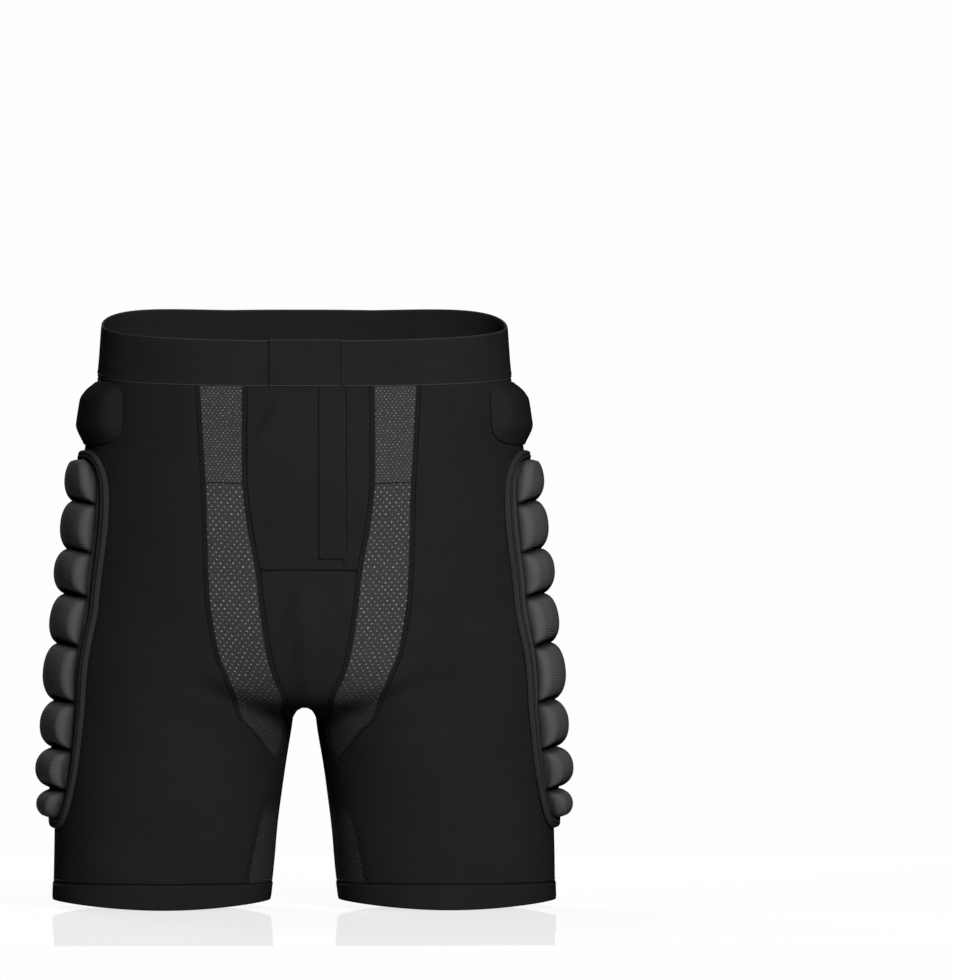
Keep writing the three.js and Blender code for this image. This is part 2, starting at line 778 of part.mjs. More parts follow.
// Channels between its blocks, as shares of half its width.
const tailLines = [
  { down: 0, middle: 0.016, channel: 0.46 },
  { down: 0.06, middle: 0.016, channel: 0.49 },
  { down: 0.12, middle: 0.016, channel: 0.525 },
  { down: 0.2, middle: 0.016, channel: 0.525 },
  { down: 0.29, middle: 0.016, channel: 0.5 },
  { down: 0.36, middle: 0.016, channel: 0.44 },
  { down: 0.47, middle: 0.016, channel: 0.385 },
  { down: 0.63, middle: 0.016, channel: 0.315 },
  { down: 0.8, middle: 0.016, channel: 0.25 },
  { down: 0.9, middle: 0.016, channel: 0.2 },
];
// Blocks of the right half. from, to: the lines beside it. The rest: shares of the length.
const tailBlocks = [
  { from: 'middle', to: 'channel', topIn: 0.036, topOut: 0.036, footIn: 0.195, footOut: 0.32, steps: 3 },
  { from: 'middle', to: 'channel', topIn: 0.225, topOut: 0.36, footIn: 0.62, footOut: 0.62, steps: 4 },
  { from: 'channel', to: 'rimOut', topIn: 0.036, topOut: 0.06, footIn: 0.282, footOut: 0.282, steps: 4 },
  { from: 'channel', to: 'rimOut', topIn: 0.31, topOut: 0.31, footIn: 0.468, footOut: 0.468, steps: 2 },
  { from: 'channel', to: 'rimOut', topIn: 0.496, topOut: 0.496, footIn: 0.626, footOut: 0.626, steps: 2 },
  { from: 'middle', to: 'channel', topIn: 0.655, topOut: 0.655, footIn: 0.87, footOut: 0.86, steps: 2 },
  { from: 'channel', to: 'rimOut', topIn: 0.655, topOut: 0.655, footIn: 0.85, footOut: 0.83, steps: 2 },
];
const tailTip = {
  from: 'rimIn', to: 'rimOut', topIn: 0.9, topOut: 0.9, footIn: 0.955, footOut: 0.955, steps: 1,
};

function tailPad() {
  const half = tailPadWidth / 2 - bindingWidth;
  const extent = { top: -tailPadTop, length: tailPadLength };
  const inner = extent.length - 2 * bindingWidth;
  const right = tailOutline.map((row) => [row.out * half, extent.top - bindingWidth - row.down * inner]);
  const left = right.slice(1).reverse().map(([a, b]) => [-a, b]);
  const outline = smoothOutline(right.concat(left), bindingPitch);
  const lineAt = lineReader(tailLines, extent, tailPadWidth / 2, outline);
  const blocks = tailBlocks.map((row) => block(row, lineAt, extent));
  const both = blocks.concat(blocks.map((line) => line.map((p) => new THREE.Vector2(-p.x, p.y))));
  both.push(block(tailTip, lineAt, extent));
  const size = {
    under: padSeat, floor: padWall, top: tailBlockHeight, chamfer: blockChamfer, pitch: finePitch,
    upright: 0.7,
  };
  const edge = { under: bindingSeat, width: bindingWidth, height: bindingHeight };
  return [
    pad('tail_pad', outline, both, size, onBack(1)),
    binding('tail_pad_binding', outline, edge, onBack(1)),
  ];
}

// Thigh pads. Outline and block lines as shares of half the hip width and of the pad's length.
const thighPadMiddle = 0.66;
const thighPadSpread = 0.29;
const thighOutline = [
  { out: 0.835, down: 0 },
  { out: 0.785, down: 0.035 },
  { out: 0.745, down: 0.15 },
  { out: 0.705, down: 0.26 },
  { out: 0.64, down: 0.37 },
  { out: 0.555, down: 0.473 },
  { out: 0.42, down: 0.61 },
  { out: 0.365, down: 0.76 },
  { out: 0.42, down: 0.9 },
  { out: 0.6, down: 0.985 },
  { out: 0.8, down: 0.98 },
  { out: 0.915, down: 0.86 },
  { out: 0.93, down: 0.745 },
  { out: 0.93, down: 0.61 },
  { out: 0.915, down: 0.455 },
  { out: 0.91, down: 0.24 },
  { out: 0.88, down: 0.04 },
];
const thighLines = [
  { down: 0.3, leaf: 0.77, seam: 0.83 },
  { down: 0.41, leaf: 0.705, seam: 0.825 },
  { down: 0.48, leaf: 0.665, seam: 0.81 },
  { down: 0.6, leaf: 0.61, seam: 0.785 },
  { down: 0.72, leaf: 0.57, seam: 0.755 },
  { down: 0.85, leaf: 0.515, seam: 0.715 },
];
const thighBlocks = [
  { from: 'rimIn', to: 'rimOut', topIn: 0.085, topOut: 0.075, footIn: 0.16, footOut: 0.225, steps: 1 },
  { from: 'rimIn', to: 'rimOut', topIn: 0.2, topOut: 0.265, footIn: 0.32, footOut: 0.4, steps: 2 },
  { from: 'leaf', to: 'seam', topIn: 0.4, topOut: 0.4, footIn: 0.68, footOut: 0.68, steps: 3 },
  { from: 'seam', to: 'rimOut', topIn: 0.42, topOut: 0.455, footIn: 0.68, footOut: 0.61, steps: 2 },
  { from: 'rimIn', to: 'leaf', topIn: 0.56, topOut: 0.55, footIn: 0.84, footOut: 0.85, steps: 3 },
  { from: 'leaf', to: 'seam', topIn: 0.72, topOut: 0.72, footIn: 0.845, footOut: 0.845, steps: 1 },
  { from: 'seam', to: 'rimOut', topIn: 0.71, topOut: 0.65, footIn: 0.845, footOut: 0.815, steps: 1 },
  { from: 'rimIn', to: 'rimOut', topIn: 0.885, topOut: 0.855, footIn: 0.945, footOut: 0.945, steps: 1 },
];

function thighPads() {
  const extent = { top: -thighPadTop, length: thighPadLength };
  const inner = { top: extent.top - bindingWidth, length: extent.length - 2 * bindingWidth };
  const centre = thighPadMiddle * halfHip;
  const squeeze = 1 - bindingWidth / (thighPadSpread * halfHip);
  const points = thighOutline.map((row) => [
    centre + (row.out * halfHip - centre) * squeeze,
    inner.top - row.down * inner.length,
  ]);
  const outline = smoothOutline(points, bindingPitch);
  const lineAt = lineReader(thighLines, extent, halfHip, outline);
  const blocks = thighBlocks.map((row) => block(row, lineAt, extent));
  const size = {
    under: padSeat, floor: padWall, top: thighBlockHeight, chamfer: blockChamfer, pitch: finePitch,
    upright: 0.8,
  };
  const edge = { under: bindingSeat, width: bindingWidth, height: bindingHeight };
  return [['left', 1], ['right', -1]].flatMap(([side, sign]) => [
    pad(`thigh_pad_${side}`, outline, blocks, size, onBack(sign)),
    binding(`thigh_pad_binding_${side}`, outline, edge, onBack(sign)),
  ]);
}

// Side pads. front, back: degrees ahead of and behind the outmost line, at shares of the length.
const sideSpan = [
  { down: 0, front: -33, back: 12 },
  { down: 0.08, front: -38, back: 18 },
  { down: 0.2, front: -41, back: 21 },
  { down: 0.35, front: -40.5, back: 18 },
  { down: 0.55, front: -40, back: 16 },
  { down: 0.72, front: -39, back: 10 },
  { down: 0.86, front: -37, back: 8 },
  { down: 1, front: -33, back: 5 },
];
// Lobes from the top down, as shares of the pad's length. topArch, footArch: how much of the full chevron
// each edge has.
const lobes = [
  { top: 0.034, topArch: 0.3, foot: 0.12, footArch: 1 },
  { top: 0.133, topArch: 1, foot: 0.246, footArch: 1 },
  { top: 0.26, topArch: 1, foot: 0.363, footArch: 1 },
  { top: 0.381, topArch: 1, foot: 0.498, footArch: 1 },
  { top: 0.516, topArch: 1, foot: 0.646, footArch: 1 },
  { top: 0.665, topArch: 1, foot: 0.776, footArch: 1 },
  { top: 0.793, topArch: 1, foot: 0.886, footArch: 1 },
  { top: 0.905, topArch: 1, foot: 0.962, footArch: 0.1 },
];
const sidePadHalf = 48;
const sidePadTaper = 0.22;
const sidePadTaperStart = 0.75;

function onSide(side, span, half, extent) {
  return (a, b, h) => {
    const at = { key: 'down', value: (extent.top - b) / extent.length };
    const share = (a + half) / (2 * half);
    const angle = radians(mix(column(span, 'front', at), column(span, 'back', at), share));
    const p = around(angle, b);
    const up = lifted(p, h);
    return new THREE.Vector3(side * up.x, up.y, up.z);
  };
}

// An upright outline with rounded corners and barely bowed sides.
function roundedOutline(half, high, low, square) {
  const middle = (high + low) / 2;
  const tall = (high - low) / 2;
  const points = [];
  for (let i = 0; i < outlineSamples; i += 1) {
    const angle = (2 * Math.PI * i) / outlineSamples;
    const across = Math.cos(angle);
    const up = Math.sin(angle);
    points.push([
      half * Math.sign(across) * Math.abs(across) ** (2 / square.across),
      middle + tall * Math.sign(up) * Math.abs(up) ** (2 / square.up),
    ]);
  }
  return points;
}

function sidePads() {
  const extent = { top: -sidePadTop, length: sidePadLength };
  const high = extent.top - bindingWidth;
  const low = extent.top - extent.length + bindingWidth;
  const taper = (b) => {
    const past = Math.max(0, (extent.top - b) / extent.length - sidePadTaperStart);
    return 1 - (sidePadTaper * past) / (1 - sidePadTaperStart);
  };
  const points = roundedOutline(sidePadHalf - bindingWidth, high, low, { across: 4, up: 14 });
  const outline = smoothOutline(points.map(([a, b]) => [a * taper(b), b]), bindingPitch);
  const rim = inset(outline, rimMargin);
  const blocks = lobes.map((row) => {
    const top = extent.top - row.top * extent.length;
    const foot = extent.top - row.foot * extent.length;
    const topSide = top - lobeChevron * row.topArch;
    const footSide = foot - lobeChevron * row.footArch;
    return [
      [crossing(rim, topSide, -1), topSide], [0, top], [crossing(rim, topSide, 1), topSide],
      [crossing(rim, footSide, 1), footSide], [0, foot], [crossing(rim, footSide, -1), footSide],
    ].map(([a, b]) => new THREE.Vector2(a, b));
  });
  const size = {
    under: padSeat, floor: sidePadWall, top: lobeHeight, chamfer: lobeChamfer, pitch: finePitch,
    upright: 0.5,
  };
  const edge = { under: bindingSeat, width: bindingWidth, height: bindingHeight };
  return [['left', 1], ['right', -1]].flatMap(([side, sign]) => {
    const place = onSide(sign, sideSpan, sidePadHalf, extent);
    return [
      pad(`side_pad_${side}`, outline, blocks, size, place),
      binding(`side_pad_binding_${side}`, outline, edge, place),
    ];
  });
}

// Crest pads: smooth shields just below the band.
const crestSpan = [
  { down: 0, front: -37, back: 19 },
  { down: 1, front: -41, back: 28 },
];
const crestPadHalf = 56;

function crestPads() {
  const extent = { top: -crestPadTop, length: crestPadHeight };
  const low = extent.top - extent.length;
  const points = roundedOutline(crestPadHalf, extent.top, low, { across: 5, up: 4 });
  const outline = smoothOutline(points, bindingPitch);
  const size = {
    under: padSeat, floor: crestPadWall, top: crestPadThickness, chamfer: crestChamfer, pitch: finePitch,
    upright: 0.5,
  };
  const blocks = [inset(outline, crestPadMargin)];
  return [['left', 1], ['right', -1]].map(([side, sign]) => (
    pad(`hip_crest_pad_${side}`, outline, blocks, size, onSide(sign, crestSpan, crestPadHalf, extent))
  ));
}

// Finishes
const finishes = {
  cloth: { color: 0x212123, roughness: 0.85 },
  band: { color: 0x26262a, roughness: 0.8 },
  mesh: { color: 0x4a4b4d, roughness: 0.85 },
  pad: { color: 0x3a3b3e, roughness: 0.75 },
  binding: { color: 0x303134, roughness: 0.8 },
};

const model = new THREE.Group();

function add(mesh, finish) {
  mesh.material = new THREE.MeshStandardMaterial({ ...finishes[finish], metalness: 0 });
  model.add(mesh);
}

function addPair(base, rows, wall, lift, finish, closed = false) {
  add(sheet(`${base}_left`, rows, wall, lift, closed), finish);
  add(sheet(`${base}_right`, mirroredRows(rows), wall, lift, closed), finish);
}

const bandLift = bandWall - clothWall;
const bandRows = trimmed(ringRows(bandSteps, bandLevels, waistPoint), true);
add(sheet('waistband', bandRows, bandWall, bandLift, true), 'band');
const patchLevels = [-patchMargin, -bandHeight / 2, -bandHeight + patchMargin];
const patchLeft = patchOffset - patchWidth / 2;
const patchRows = trimRows(patchLeft, patchLeft + patchWidth, patchLevels, rimRise, 4);
add(sheet('waistband_front_patch', patchRows, trimWall, bandLift + seamGap + trimWall, false), 'band');

add(sheet('centre_front_panel', trimmed(centreFrontRows(), false), clothWall, 0, false), 'cloth');
const placketTop = -bandHeight - bandEdgeRise - placketDrop;
const placketLevels = [0, 0.25, 0.5, 0.75, 1].map((share) => placketTop - share * placketLength);
const placketLeft = placketOffset - placketWidth / 2;
const placketRows = trimRows(placketLeft, placketLeft + placketWidth, placketLevels, 0, 2);
add(sheet('fly_placket', placketRows, trimWall, seamGap + trimWall, false), 'cloth');
add(sheet('pouch_panel', trimmed(pouchRows(), false), clothWall, 0, false), 'cloth');
addPair('mesh_strip', trimmed(meshStripRows(), false), clothWall, 0, 'mesh');
addPair('leg_panel', trimmed(legPanelRows(), false), clothWall, 0, 'cloth');
addPair('inner_thigh_panel', trimmed(innerThighRows(), false), clothWall, 0, 'mesh');
const hemRows = trimmed(ringRows(hemSteps, [0, 1], hemPoint), true);
addPair('leg_hem', hemRows, hemWall, hemWall - clothWall, 'cloth', true);

for (const mesh of tailPad()) add(mesh, mesh.name.includes('binding') ? 'binding' : 'pad');
for (const mesh of thighPads()) add(mesh, mesh.name.includes('binding') ? 'binding' : 'pad');
for (const mesh of sidePads()) add(mesh, mesh.name.includes('binding') ? 'binding' : 'pad');
for (const mesh of crestPads()) add(mesh, 'pad');

export default model;
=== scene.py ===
# Padded protective shorts, shown as they sit on a body: a shell of stretch cloth and mesh with moulded
# pads sewn on over the hips, the tailbone and the thighs.
import math

import bpy
import numpy as np
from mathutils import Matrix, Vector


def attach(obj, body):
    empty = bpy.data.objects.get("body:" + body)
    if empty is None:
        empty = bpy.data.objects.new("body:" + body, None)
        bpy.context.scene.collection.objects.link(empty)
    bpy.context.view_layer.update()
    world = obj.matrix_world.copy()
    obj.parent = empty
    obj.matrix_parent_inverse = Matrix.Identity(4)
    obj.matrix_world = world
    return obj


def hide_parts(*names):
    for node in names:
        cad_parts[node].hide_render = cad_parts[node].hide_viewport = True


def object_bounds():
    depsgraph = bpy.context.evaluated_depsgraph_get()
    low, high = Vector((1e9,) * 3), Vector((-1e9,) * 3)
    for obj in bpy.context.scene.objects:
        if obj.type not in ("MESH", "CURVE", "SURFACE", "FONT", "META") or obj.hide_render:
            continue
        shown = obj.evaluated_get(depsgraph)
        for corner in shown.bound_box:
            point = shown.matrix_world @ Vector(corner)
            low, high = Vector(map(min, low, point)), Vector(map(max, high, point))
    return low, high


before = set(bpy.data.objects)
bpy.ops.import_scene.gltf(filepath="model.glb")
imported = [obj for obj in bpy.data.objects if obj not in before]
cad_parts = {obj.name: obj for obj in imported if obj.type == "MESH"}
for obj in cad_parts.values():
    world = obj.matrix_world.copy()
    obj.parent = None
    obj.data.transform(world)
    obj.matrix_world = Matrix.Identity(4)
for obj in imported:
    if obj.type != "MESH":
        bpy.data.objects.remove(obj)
cad_box = [[float(v) for v in corner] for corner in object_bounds()]
bpy.ops.object.select_all(action="DESELECT")

# The photographer's set
# A sheet of polished white paper under the shorts, in a white room. One soft light stands in front and one
# behind, with faint ones at the sides and overhead; the camera is nine metres away with a long lens.
hem_level = cad_box[0][2] - 0.0006
paper_middle = 0.24
bpy.ops.mesh.primitive_plane_add(size=2, location=(0, paper_middle, hem_level))
paper = bpy.context.object
paper.name = "paper"
bpy.ops.object.transform_apply(location=True, rotation=True, scale=True)


def fill_in(node, inputs):
    """Sets a node's inputs: each to a number, a colour, or another node's output."""
    for socket, value in inputs.items():
        if isinstance(value, bpy.types.NodeSocket):
            node.id_data.links.new(value, node.inputs[socket])
        else:
            node.inputs[socket].default_value = (*value, 1) if isinstance(value, tuple) else value
    return node


def add_node(tree, kind, inputs, **settings):
    made = tree.nodes.new(f"ShaderNode{kind}")
    for setting, value in settings.items():
        setattr(made, setting, value)
    return fill_in(made, inputs)


def math_node(tree, operation, *values):
    return add_node(tree, "Math", dict(enumerate(values)), operation=operation).outputs[0]


def shown(tree, output, share, first, second):
    """Sends a mix of two shaders to the output."""
    both = add_node(tree, "MixShader", {0: share, 1: first.outputs[0], 2: second.outputs[0]})
    fill_in(tree.nodes[output], {"Surface": both.outputs[0]})


paper_material = bpy.data.materials.new("white_paper")
paper_material.use_nodes = True
paper_tree = paper_material.node_tree
paper_path = add_node(paper_tree, "LightPath", {}).outputs
paper_sheet = fill_in(paper_tree.nodes["Principled BSDF"], {
    "Base Color": (0.1, 0.1, 0.1),
    "Roughness": 0.9,
    "Specular IOR Level": 0,
    "Emission Color": (1, 1, 1),
    "Emission Strength": math_node(paper_tree, "MULTIPLY", paper_path["Is Camera Ray"], 0.948),
})
paper_polish = add_node(paper_tree, "BsdfGlossy", {"Roughness": 0.03})
shown(paper_tree, "Material Output", 0.2, paper_sheet, paper_polish)
paper.data.materials.append(paper_material)

room = bpy.data.worlds.new("bright_room")
bpy.context.scene.world = room
room.use_nodes = True
room_tree = room.node_tree
room_light = fill_in(room_tree.nodes["Background"], {"Color": (1, 1, 1), "Strength": 0.03})
room_seen = add_node(room_tree, "Background", {"Color": (0.985, 0.985, 0.985)})
room_path = add_node(room_tree, "LightPath", {}).outputs
room_share = math_node(room_tree, "ADD", room_path["Is Camera Ray"], room_path["Is Glossy Ray"])
shown(room_tree, "World Output", room_share, room_light, room_seen)

lit_level = -0.25
for light_name, stand_at, size, power in (
    ("front_panel", (0.6, -2.5, 0.75), 0.7, 84),
    ("back_panel", (-0.9, 2.45, 0.75), 0.7, 90),
    ("left_panel", (-2.6, 0, 0.9), 0.9, 0.6),
    ("right_panel", (2.6, 0, 0.9), 0.9, 0.6),
):
    bpy.ops.object.light_add(type="AREA", location=stand_at)
    lamp = bpy.context.object
    lamp.name = light_name
    lamp.data.size = size
    lamp.data.energy = power
    aim = -lamp.location
    aim.z += lit_level
    lamp.rotation_euler = aim.to_track_quat("-Z", "Y").to_euler()
bpy.ops.object.light_add(type="SUN", location=(0, 0, 3), rotation=(0, 0, 0))
sky = bpy.context.object
sky.name = "ceiling_panel"
sky.data.energy = 0.18
sky.data.angle = math.radians(80)

# The picture is 953 by 980 pixels at 0.851 mm each, and the shorts' own middle is left of its centre.
camera_distance = 9.0
camera_turn = math.radians(-2.7)
film_width = 36
picture_height = 980 * 0.000851
picture_right = 0.1464
picture_level = -0.1404
sight = np.array([-math.sin(camera_turn), math.cos(camera_turn)])
across = np.array([math.cos(camera_turn), math.sin(camera_turn)])
stand = -sight * camera_distance + across * picture_right
bpy.ops.object.camera_add(location=(*stand, picture_level), rotation=(math.pi / 2, 0, camera_turn))
camera = bpy.context.object
camera.data.sensor_width = film_width
camera.data.lens = film_width * camera_distance / picture_height
camera.data.clip_end = 60
bpy.context.scene.camera = camera
bpy.context.scene.view_settings.view_transform = "Standard"

# The shape of the shell
# The shorts take the shape of the body in them. These are the sections that the cloth is cut to, the
# same as the solids': millimetres, with the tables as shares of the sizes beside them.
waist_width = 344
waist_front = 105
waist_back = 110
hip_width = 402
half_hip = hip_width / 2
hip_front = 118
seat_back = 138
rise = 328
leg_length = 167
crotch_gap = 18
hem_gap = 60
hem_width = 428
thigh_front = 96
thigh_back = 114
hem_front = 84
hem_back = 92
pouch_bulge = 7
pouch_half_width = 40
pouch_level = 0.82
pouch_reach = 0.15
# down, toward the hip, the belly and the seat, roundness
torso_sections = np.array([
    (-0.08, -0.06, -0.1, -0.08, 2.45),
    (0, 0, 0, 0, 2.45),
    (0.14, 0.13, 0.2, 0.16, 2.4),
    (0.18, 0.26, 0.4, 0.3, 2.35),
    (0.32, 0.5, 0.75, 0.62, 2.25),
    (0.46, 0.71, 1, 0.9, 2.2),
    (0.6, 0.87, 1.05, 1, 2.2),
    (0.72, 1, 0.95, 0.95, 2.2),
    (0.86, 1.16, 0.5, 0.62, 2.2),
    (1, 1.25, -0.2, 0.1, 2.2),
    (1.2, 1.3, -1, -0.6, 2.2),
])
# down, toward the hem, how far out, depth
leg_sections = np.array([
    (-0.8, -0.5, 0.9, -0.3),
    (0, 0, 0.972, 0),
    (0.38, 0.46, 0.989, 0.42),
    (1, 1, 1, 1),
    (1.2, 1.15, 1.004, 1.15),
])
leg_corner = 2.15
crotch_blend = 14
saddle_drop = 4
saddle_blend = 30
limb_start = 0.72
limb_blend = 60
ray_reach = 320
waist_share = 0.55


def mix(a, b, t):
    return a + (b - a) * t


def column(table, which, at):
    """A column of a table at places between its rows, along a smooth curve."""
    place = table[:, 0]
    value = table[:, which]
    last = len(place) - 1
    low = np.maximum(np.arange(last + 1) - 1, 0)
    high = np.minimum(np.arange(last + 1) + 1, last)
    slope = (value[high] - value[low]) / (place[high] - place[low])
    i = np.clip(np.searchsorted(place, at) - 1, 0, last - 1)
    span = place[i + 1] - place[i]
    t = np.clip((at - place[i]) / span, 0, 1)
    start = (2 * t**3 - 3 * t**2 + 1) * value[i] + (t**3 - 2 * t**2 + t) * span * slope[i]
    return start + (3 * t**2 - 2 * t**3) * value[i + 1] + (t**3 - t**2) * span * slope[i + 1]


def outside(x, y, width, depth, corner):
    r = (np.abs(x / width) ** corner + np.abs(y / depth) ** corner) ** (1 / corner)
    return (r - 1) * np.minimum(width, depth)


def smooth_min(a, b, soft):
    h = np.maximum(soft - np.abs(a - b), 0) / soft
    return np.minimum(a, b) - h * h * soft / 4


def leg_at(z):
    at = (-z - rise) / leg_length
    to_hem = column(leg_sections, 1, at)
    depth = column(leg_sections, 3, at)
    inner = mix(crotch_gap, hem_gap, to_hem) / 2
    outer = column(leg_sections, 2, at) * hem_width / 2
    front = mix(thigh_front, hem_front, depth)
    back = mix(thigh_back, hem_back, depth)
    return (inner + outer) / 2, (outer - inner) / 2, front, back


def shape(p):
    """Below 0 inside the cloth's outer face and above 0 outside it."""
    x, y, z = p[..., 0], p[..., 1], p[..., 2]
    at = -z / rise
    width = mix(waist_width, hip_width, column(torso_sections, 1, at)) / 2
    fullness = np.exp(-((x / pouch_half_width) ** 2) - ((z / rise + pouch_level) / pouch_reach) ** 2)
    front = mix(waist_front, hip_front, column(torso_sections, 2, at)) + pouch_bulge * fullness
    back = mix(waist_back, seat_back, column(torso_sections, 3, at))
    torso = outside(x, y, width, np.where(y < 0, front, back), column(torso_sections, 4, at))
    middle, half, leg_front, leg_back = leg_at(z)
    limb = outside(np.abs(x) - middle, y, half, np.where(y < 0, leg_front, leg_back), leg_corner)
    torso = -smooth_min(-torso, rise - saddle_drop + z, saddle_blend)
    limb = -smooth_min(-limb, -z - limb_start * rise, limb_blend)
    return smooth_min(torso, limb, crotch_blend)


def slope_of(p):
    steps = np.eye(3) * 0.5
    return np.stack([shape(p + s) - shape(p - s) for s in steps], axis=-1)


def facing(p):
    n = slope_of(p)
    return n / np.linalg.norm(n, axis=-1, keepdims=True)


def settle(p):
    """Moves points that are near the cloth onto it."""
    p = p.copy()
    for _ in range(5):
        g = slope_of(p)
        p -= g * (shape(p) / np.maximum((g * g).sum(-1), 1e-9))[..., None]
    return p


def leave(start, way):
    """Where rays from inside come out through the cloth."""
    start, way = np.broadcast_arrays(np.asarray(start, float), ray_reach * np.asarray(way, float))
    near = np.zeros(start.shape[:-1])
    far = np.ones(start.shape[:-1])
    found = np.zeros(start.shape[:-1], bool)
    for step in np.arange(0.04, 1, 0.04):
        out = shape(start + way * step) > 0
        far = np.where(out & ~found, step, far)
        near = np.where(~out & ~found, step, near)
        found |= out
    for _ in range(18):
        t = (near + far) / 2
        out = shape(start + way * t[..., None]) > 0
        far = np.where(out, t, far)
        near = np.where(out, near, t)
    return start + way * ((near + far) / 2)[..., None]


def spot(x, y, z):
    return np.stack(np.broadcast_arrays(x, y, z), axis=-1).astype(float)


def front_at(x, z):
    return leave(spot(x, 0, z), (0, -1, 0))


def back_at(x, z):
    return leave(spot(x, 0, z), (0, 1, 0))


def axis_at(z):
    """The middle of the left half, which moves out from the waist to the leg."""
    z = np.asarray(z, float)
    middle = leg_at(np.minimum(z, -rise))[0]
    share = np.clip(-z / rise, 0, 1)
    return spot(mix(middle * waist_share, middle, share), 0, z)


def turned(angle):
    return spot(np.cos(angle), np.sin(angle), 0)


def around(angle, z):
    return leave(axis_at(z), turned(angle))


def angle_of(p):
    away = p - axis_at(p[..., 2])
    return np.arctan2(away[..., 1], away[..., 0])


def on_rise(level, climb, find, flat=0):
    """Points on a level that climbs toward the back; flat keeps it level across the back."""
    p = find(level)
    for _ in range(5):
        share = p[..., 1] / waist_front
        back = np.clip(share, 0, 1)
        p = find(level + climb * (share + flat * back * back * (1 - back)))
    return p


def mirrored(p):
    return p * (-1, 1, 1)


# The seams of the left half
# Rows where the panels' edges are marked, from the band down to the hem: shares of the half hip for the
# seams in front and at the back, and degrees about the leg for those of the inner thigh.
band_height = 43.4
rim_rise = 14.5
band_edge_rise = 9.5
hem_height = 22
hem_sweep = 7
placket_row = 5
# down, outer and inner seam of the mesh strip, back seam
torso_rows = np.array([
    (0.132, 0.474, 0.256, 0),
    (0.23, 0.464, 0.259, 0),
    (0.32, 0.456, 0.259, 0),
    (0.412, 0.448, 0.257, 0),
    (0.52, 0.443, 0.236, 0),
    (0.634, 0.438, 0.204, 0),
    (0.729, 0.428, 0.187, 0),
    (0.848, 0.393, 0.157, 0),
    (0.909, 0.353, 0.13, 0),
    (0.966, 0.318, 0.09, 0.008),
])
# down, outer seam of the strip, front and back seam of the inner thigh in degrees
leg_rows = np.array([
    (0.035, 0.284, 25, 25),
    (0.085, 0.241, 22, 27),
    (0.176, 0.179, 23, 30),
    (0.24, 0.14, 28, 32),
    (0.405, 0, 33, 36),
    (0.57, 0, 37, 39),
    (0.73, 0, 40, 41),
])
torso_level = -torso_rows[:, 0] * rise
band_cover = 1.5
torso_level[0] = band_cover - band_height
torso_climb = band_edge_rise * np.maximum(0, 1 - np.arange(10) / placket_row)
leg_level = -rise - leg_rows[:, 0] * leg_length
hem_top = -rise - leg_length + hem_height


def torso_seam(share, find):
    x = np.maximum(share * half_hip, 0.001)
    return on_rise(torso_level, torso_climb, lambda z: find(x, z))


def inmost(degrees, z):
    return around(np.pi - np.radians(degrees), z)


strip_outer = torso_seam(torso_rows[:, 1], front_at)
strip_inner = torso_seam(torso_rows[:, 2], front_at)
back_seam = torso_seam(torso_rows[:, 3], back_at)
thigh_levels = np.append(leg_level, hem_top)
hem_seam_front = 41
hem_seam_back = 42
thigh_front_seam = inmost(-np.append(leg_rows[:, 2], hem_seam_front), thigh_levels)
thigh_back_seam = inmost(np.append(leg_rows[:, 3], hem_seam_back), thigh_levels)
strip_end_width = 1.5
strip_end = front_at(thigh_front_seam[3, 0] + strip_end_width, leg_level[3])
strip_tail = np.vstack([front_at(leg_rows[:3, 1] * half_hip, leg_level[:3]), strip_end])
panel_outer = np.vstack([strip_outer, strip_tail, thigh_front_seam[4:]])
panel_back = np.vstack([back_seam, thigh_back_seam])


def sweep(start, end, count, turn):
    """Points about the half's axis from each seam point to its partner."""
    a = angle_of(start)
    b = angle_of(end)
    if turn > 0:
        b = np.where(b < a, b + 2 * np.pi, b)
    else:
        b = np.where(b > a, b - 2 * np.pi, b)
    t = np.linspace(0, 1, count + 1)
    z = mix(start[:, None, 2], end[:, None, 2], t)
    return around(mix(a[:, None], b[:, None], t), z)


def over(start, end, count):
    """Points straight across from each seam point to its partner, before they are settled."""
    t = np.linspace(0, 1, count + 1)[:, None]
    return mix(start[:, None], end[:, None], t)


def finer(rows, down, across_steps, closed=False):
    """The same grid with smooth rows and columns between its own."""
    for axis, steps, ring in ((0, down, False), (1, across_steps, closed)):
        rows = np.moveaxis(rows, axis, 0)
        count = len(rows)
        place = np.arange(count * steps if ring else (count - 1) * steps + 1) / steps
        i = np.floor(place).astype(int)
        i = i if ring else np.minimum(i, count - 2)
        t = (place - i)[:, None, None]

        def at(k):
            return rows[k % count] if ring else rows[np.clip(k, 0, count - 1)]

        before, start, end, after = at(i - 1), at(i), at(i + 1), at(i + 2)
        if not ring:
            before = np.where((i == 0)[:, None, None], 2 * start - end, before)
            after = np.where((i == count - 2)[:, None, None], 2 * end - start, after)
        rows = 0.5 * (2 * start + (end - before) * t + (2 * before - 5 * start + 4 * end - after) * t**2
                      + (3 * start - before - 3 * end + after) * t**3)
        rows = np.moveaxis(rows, 0, axis)
    return rows


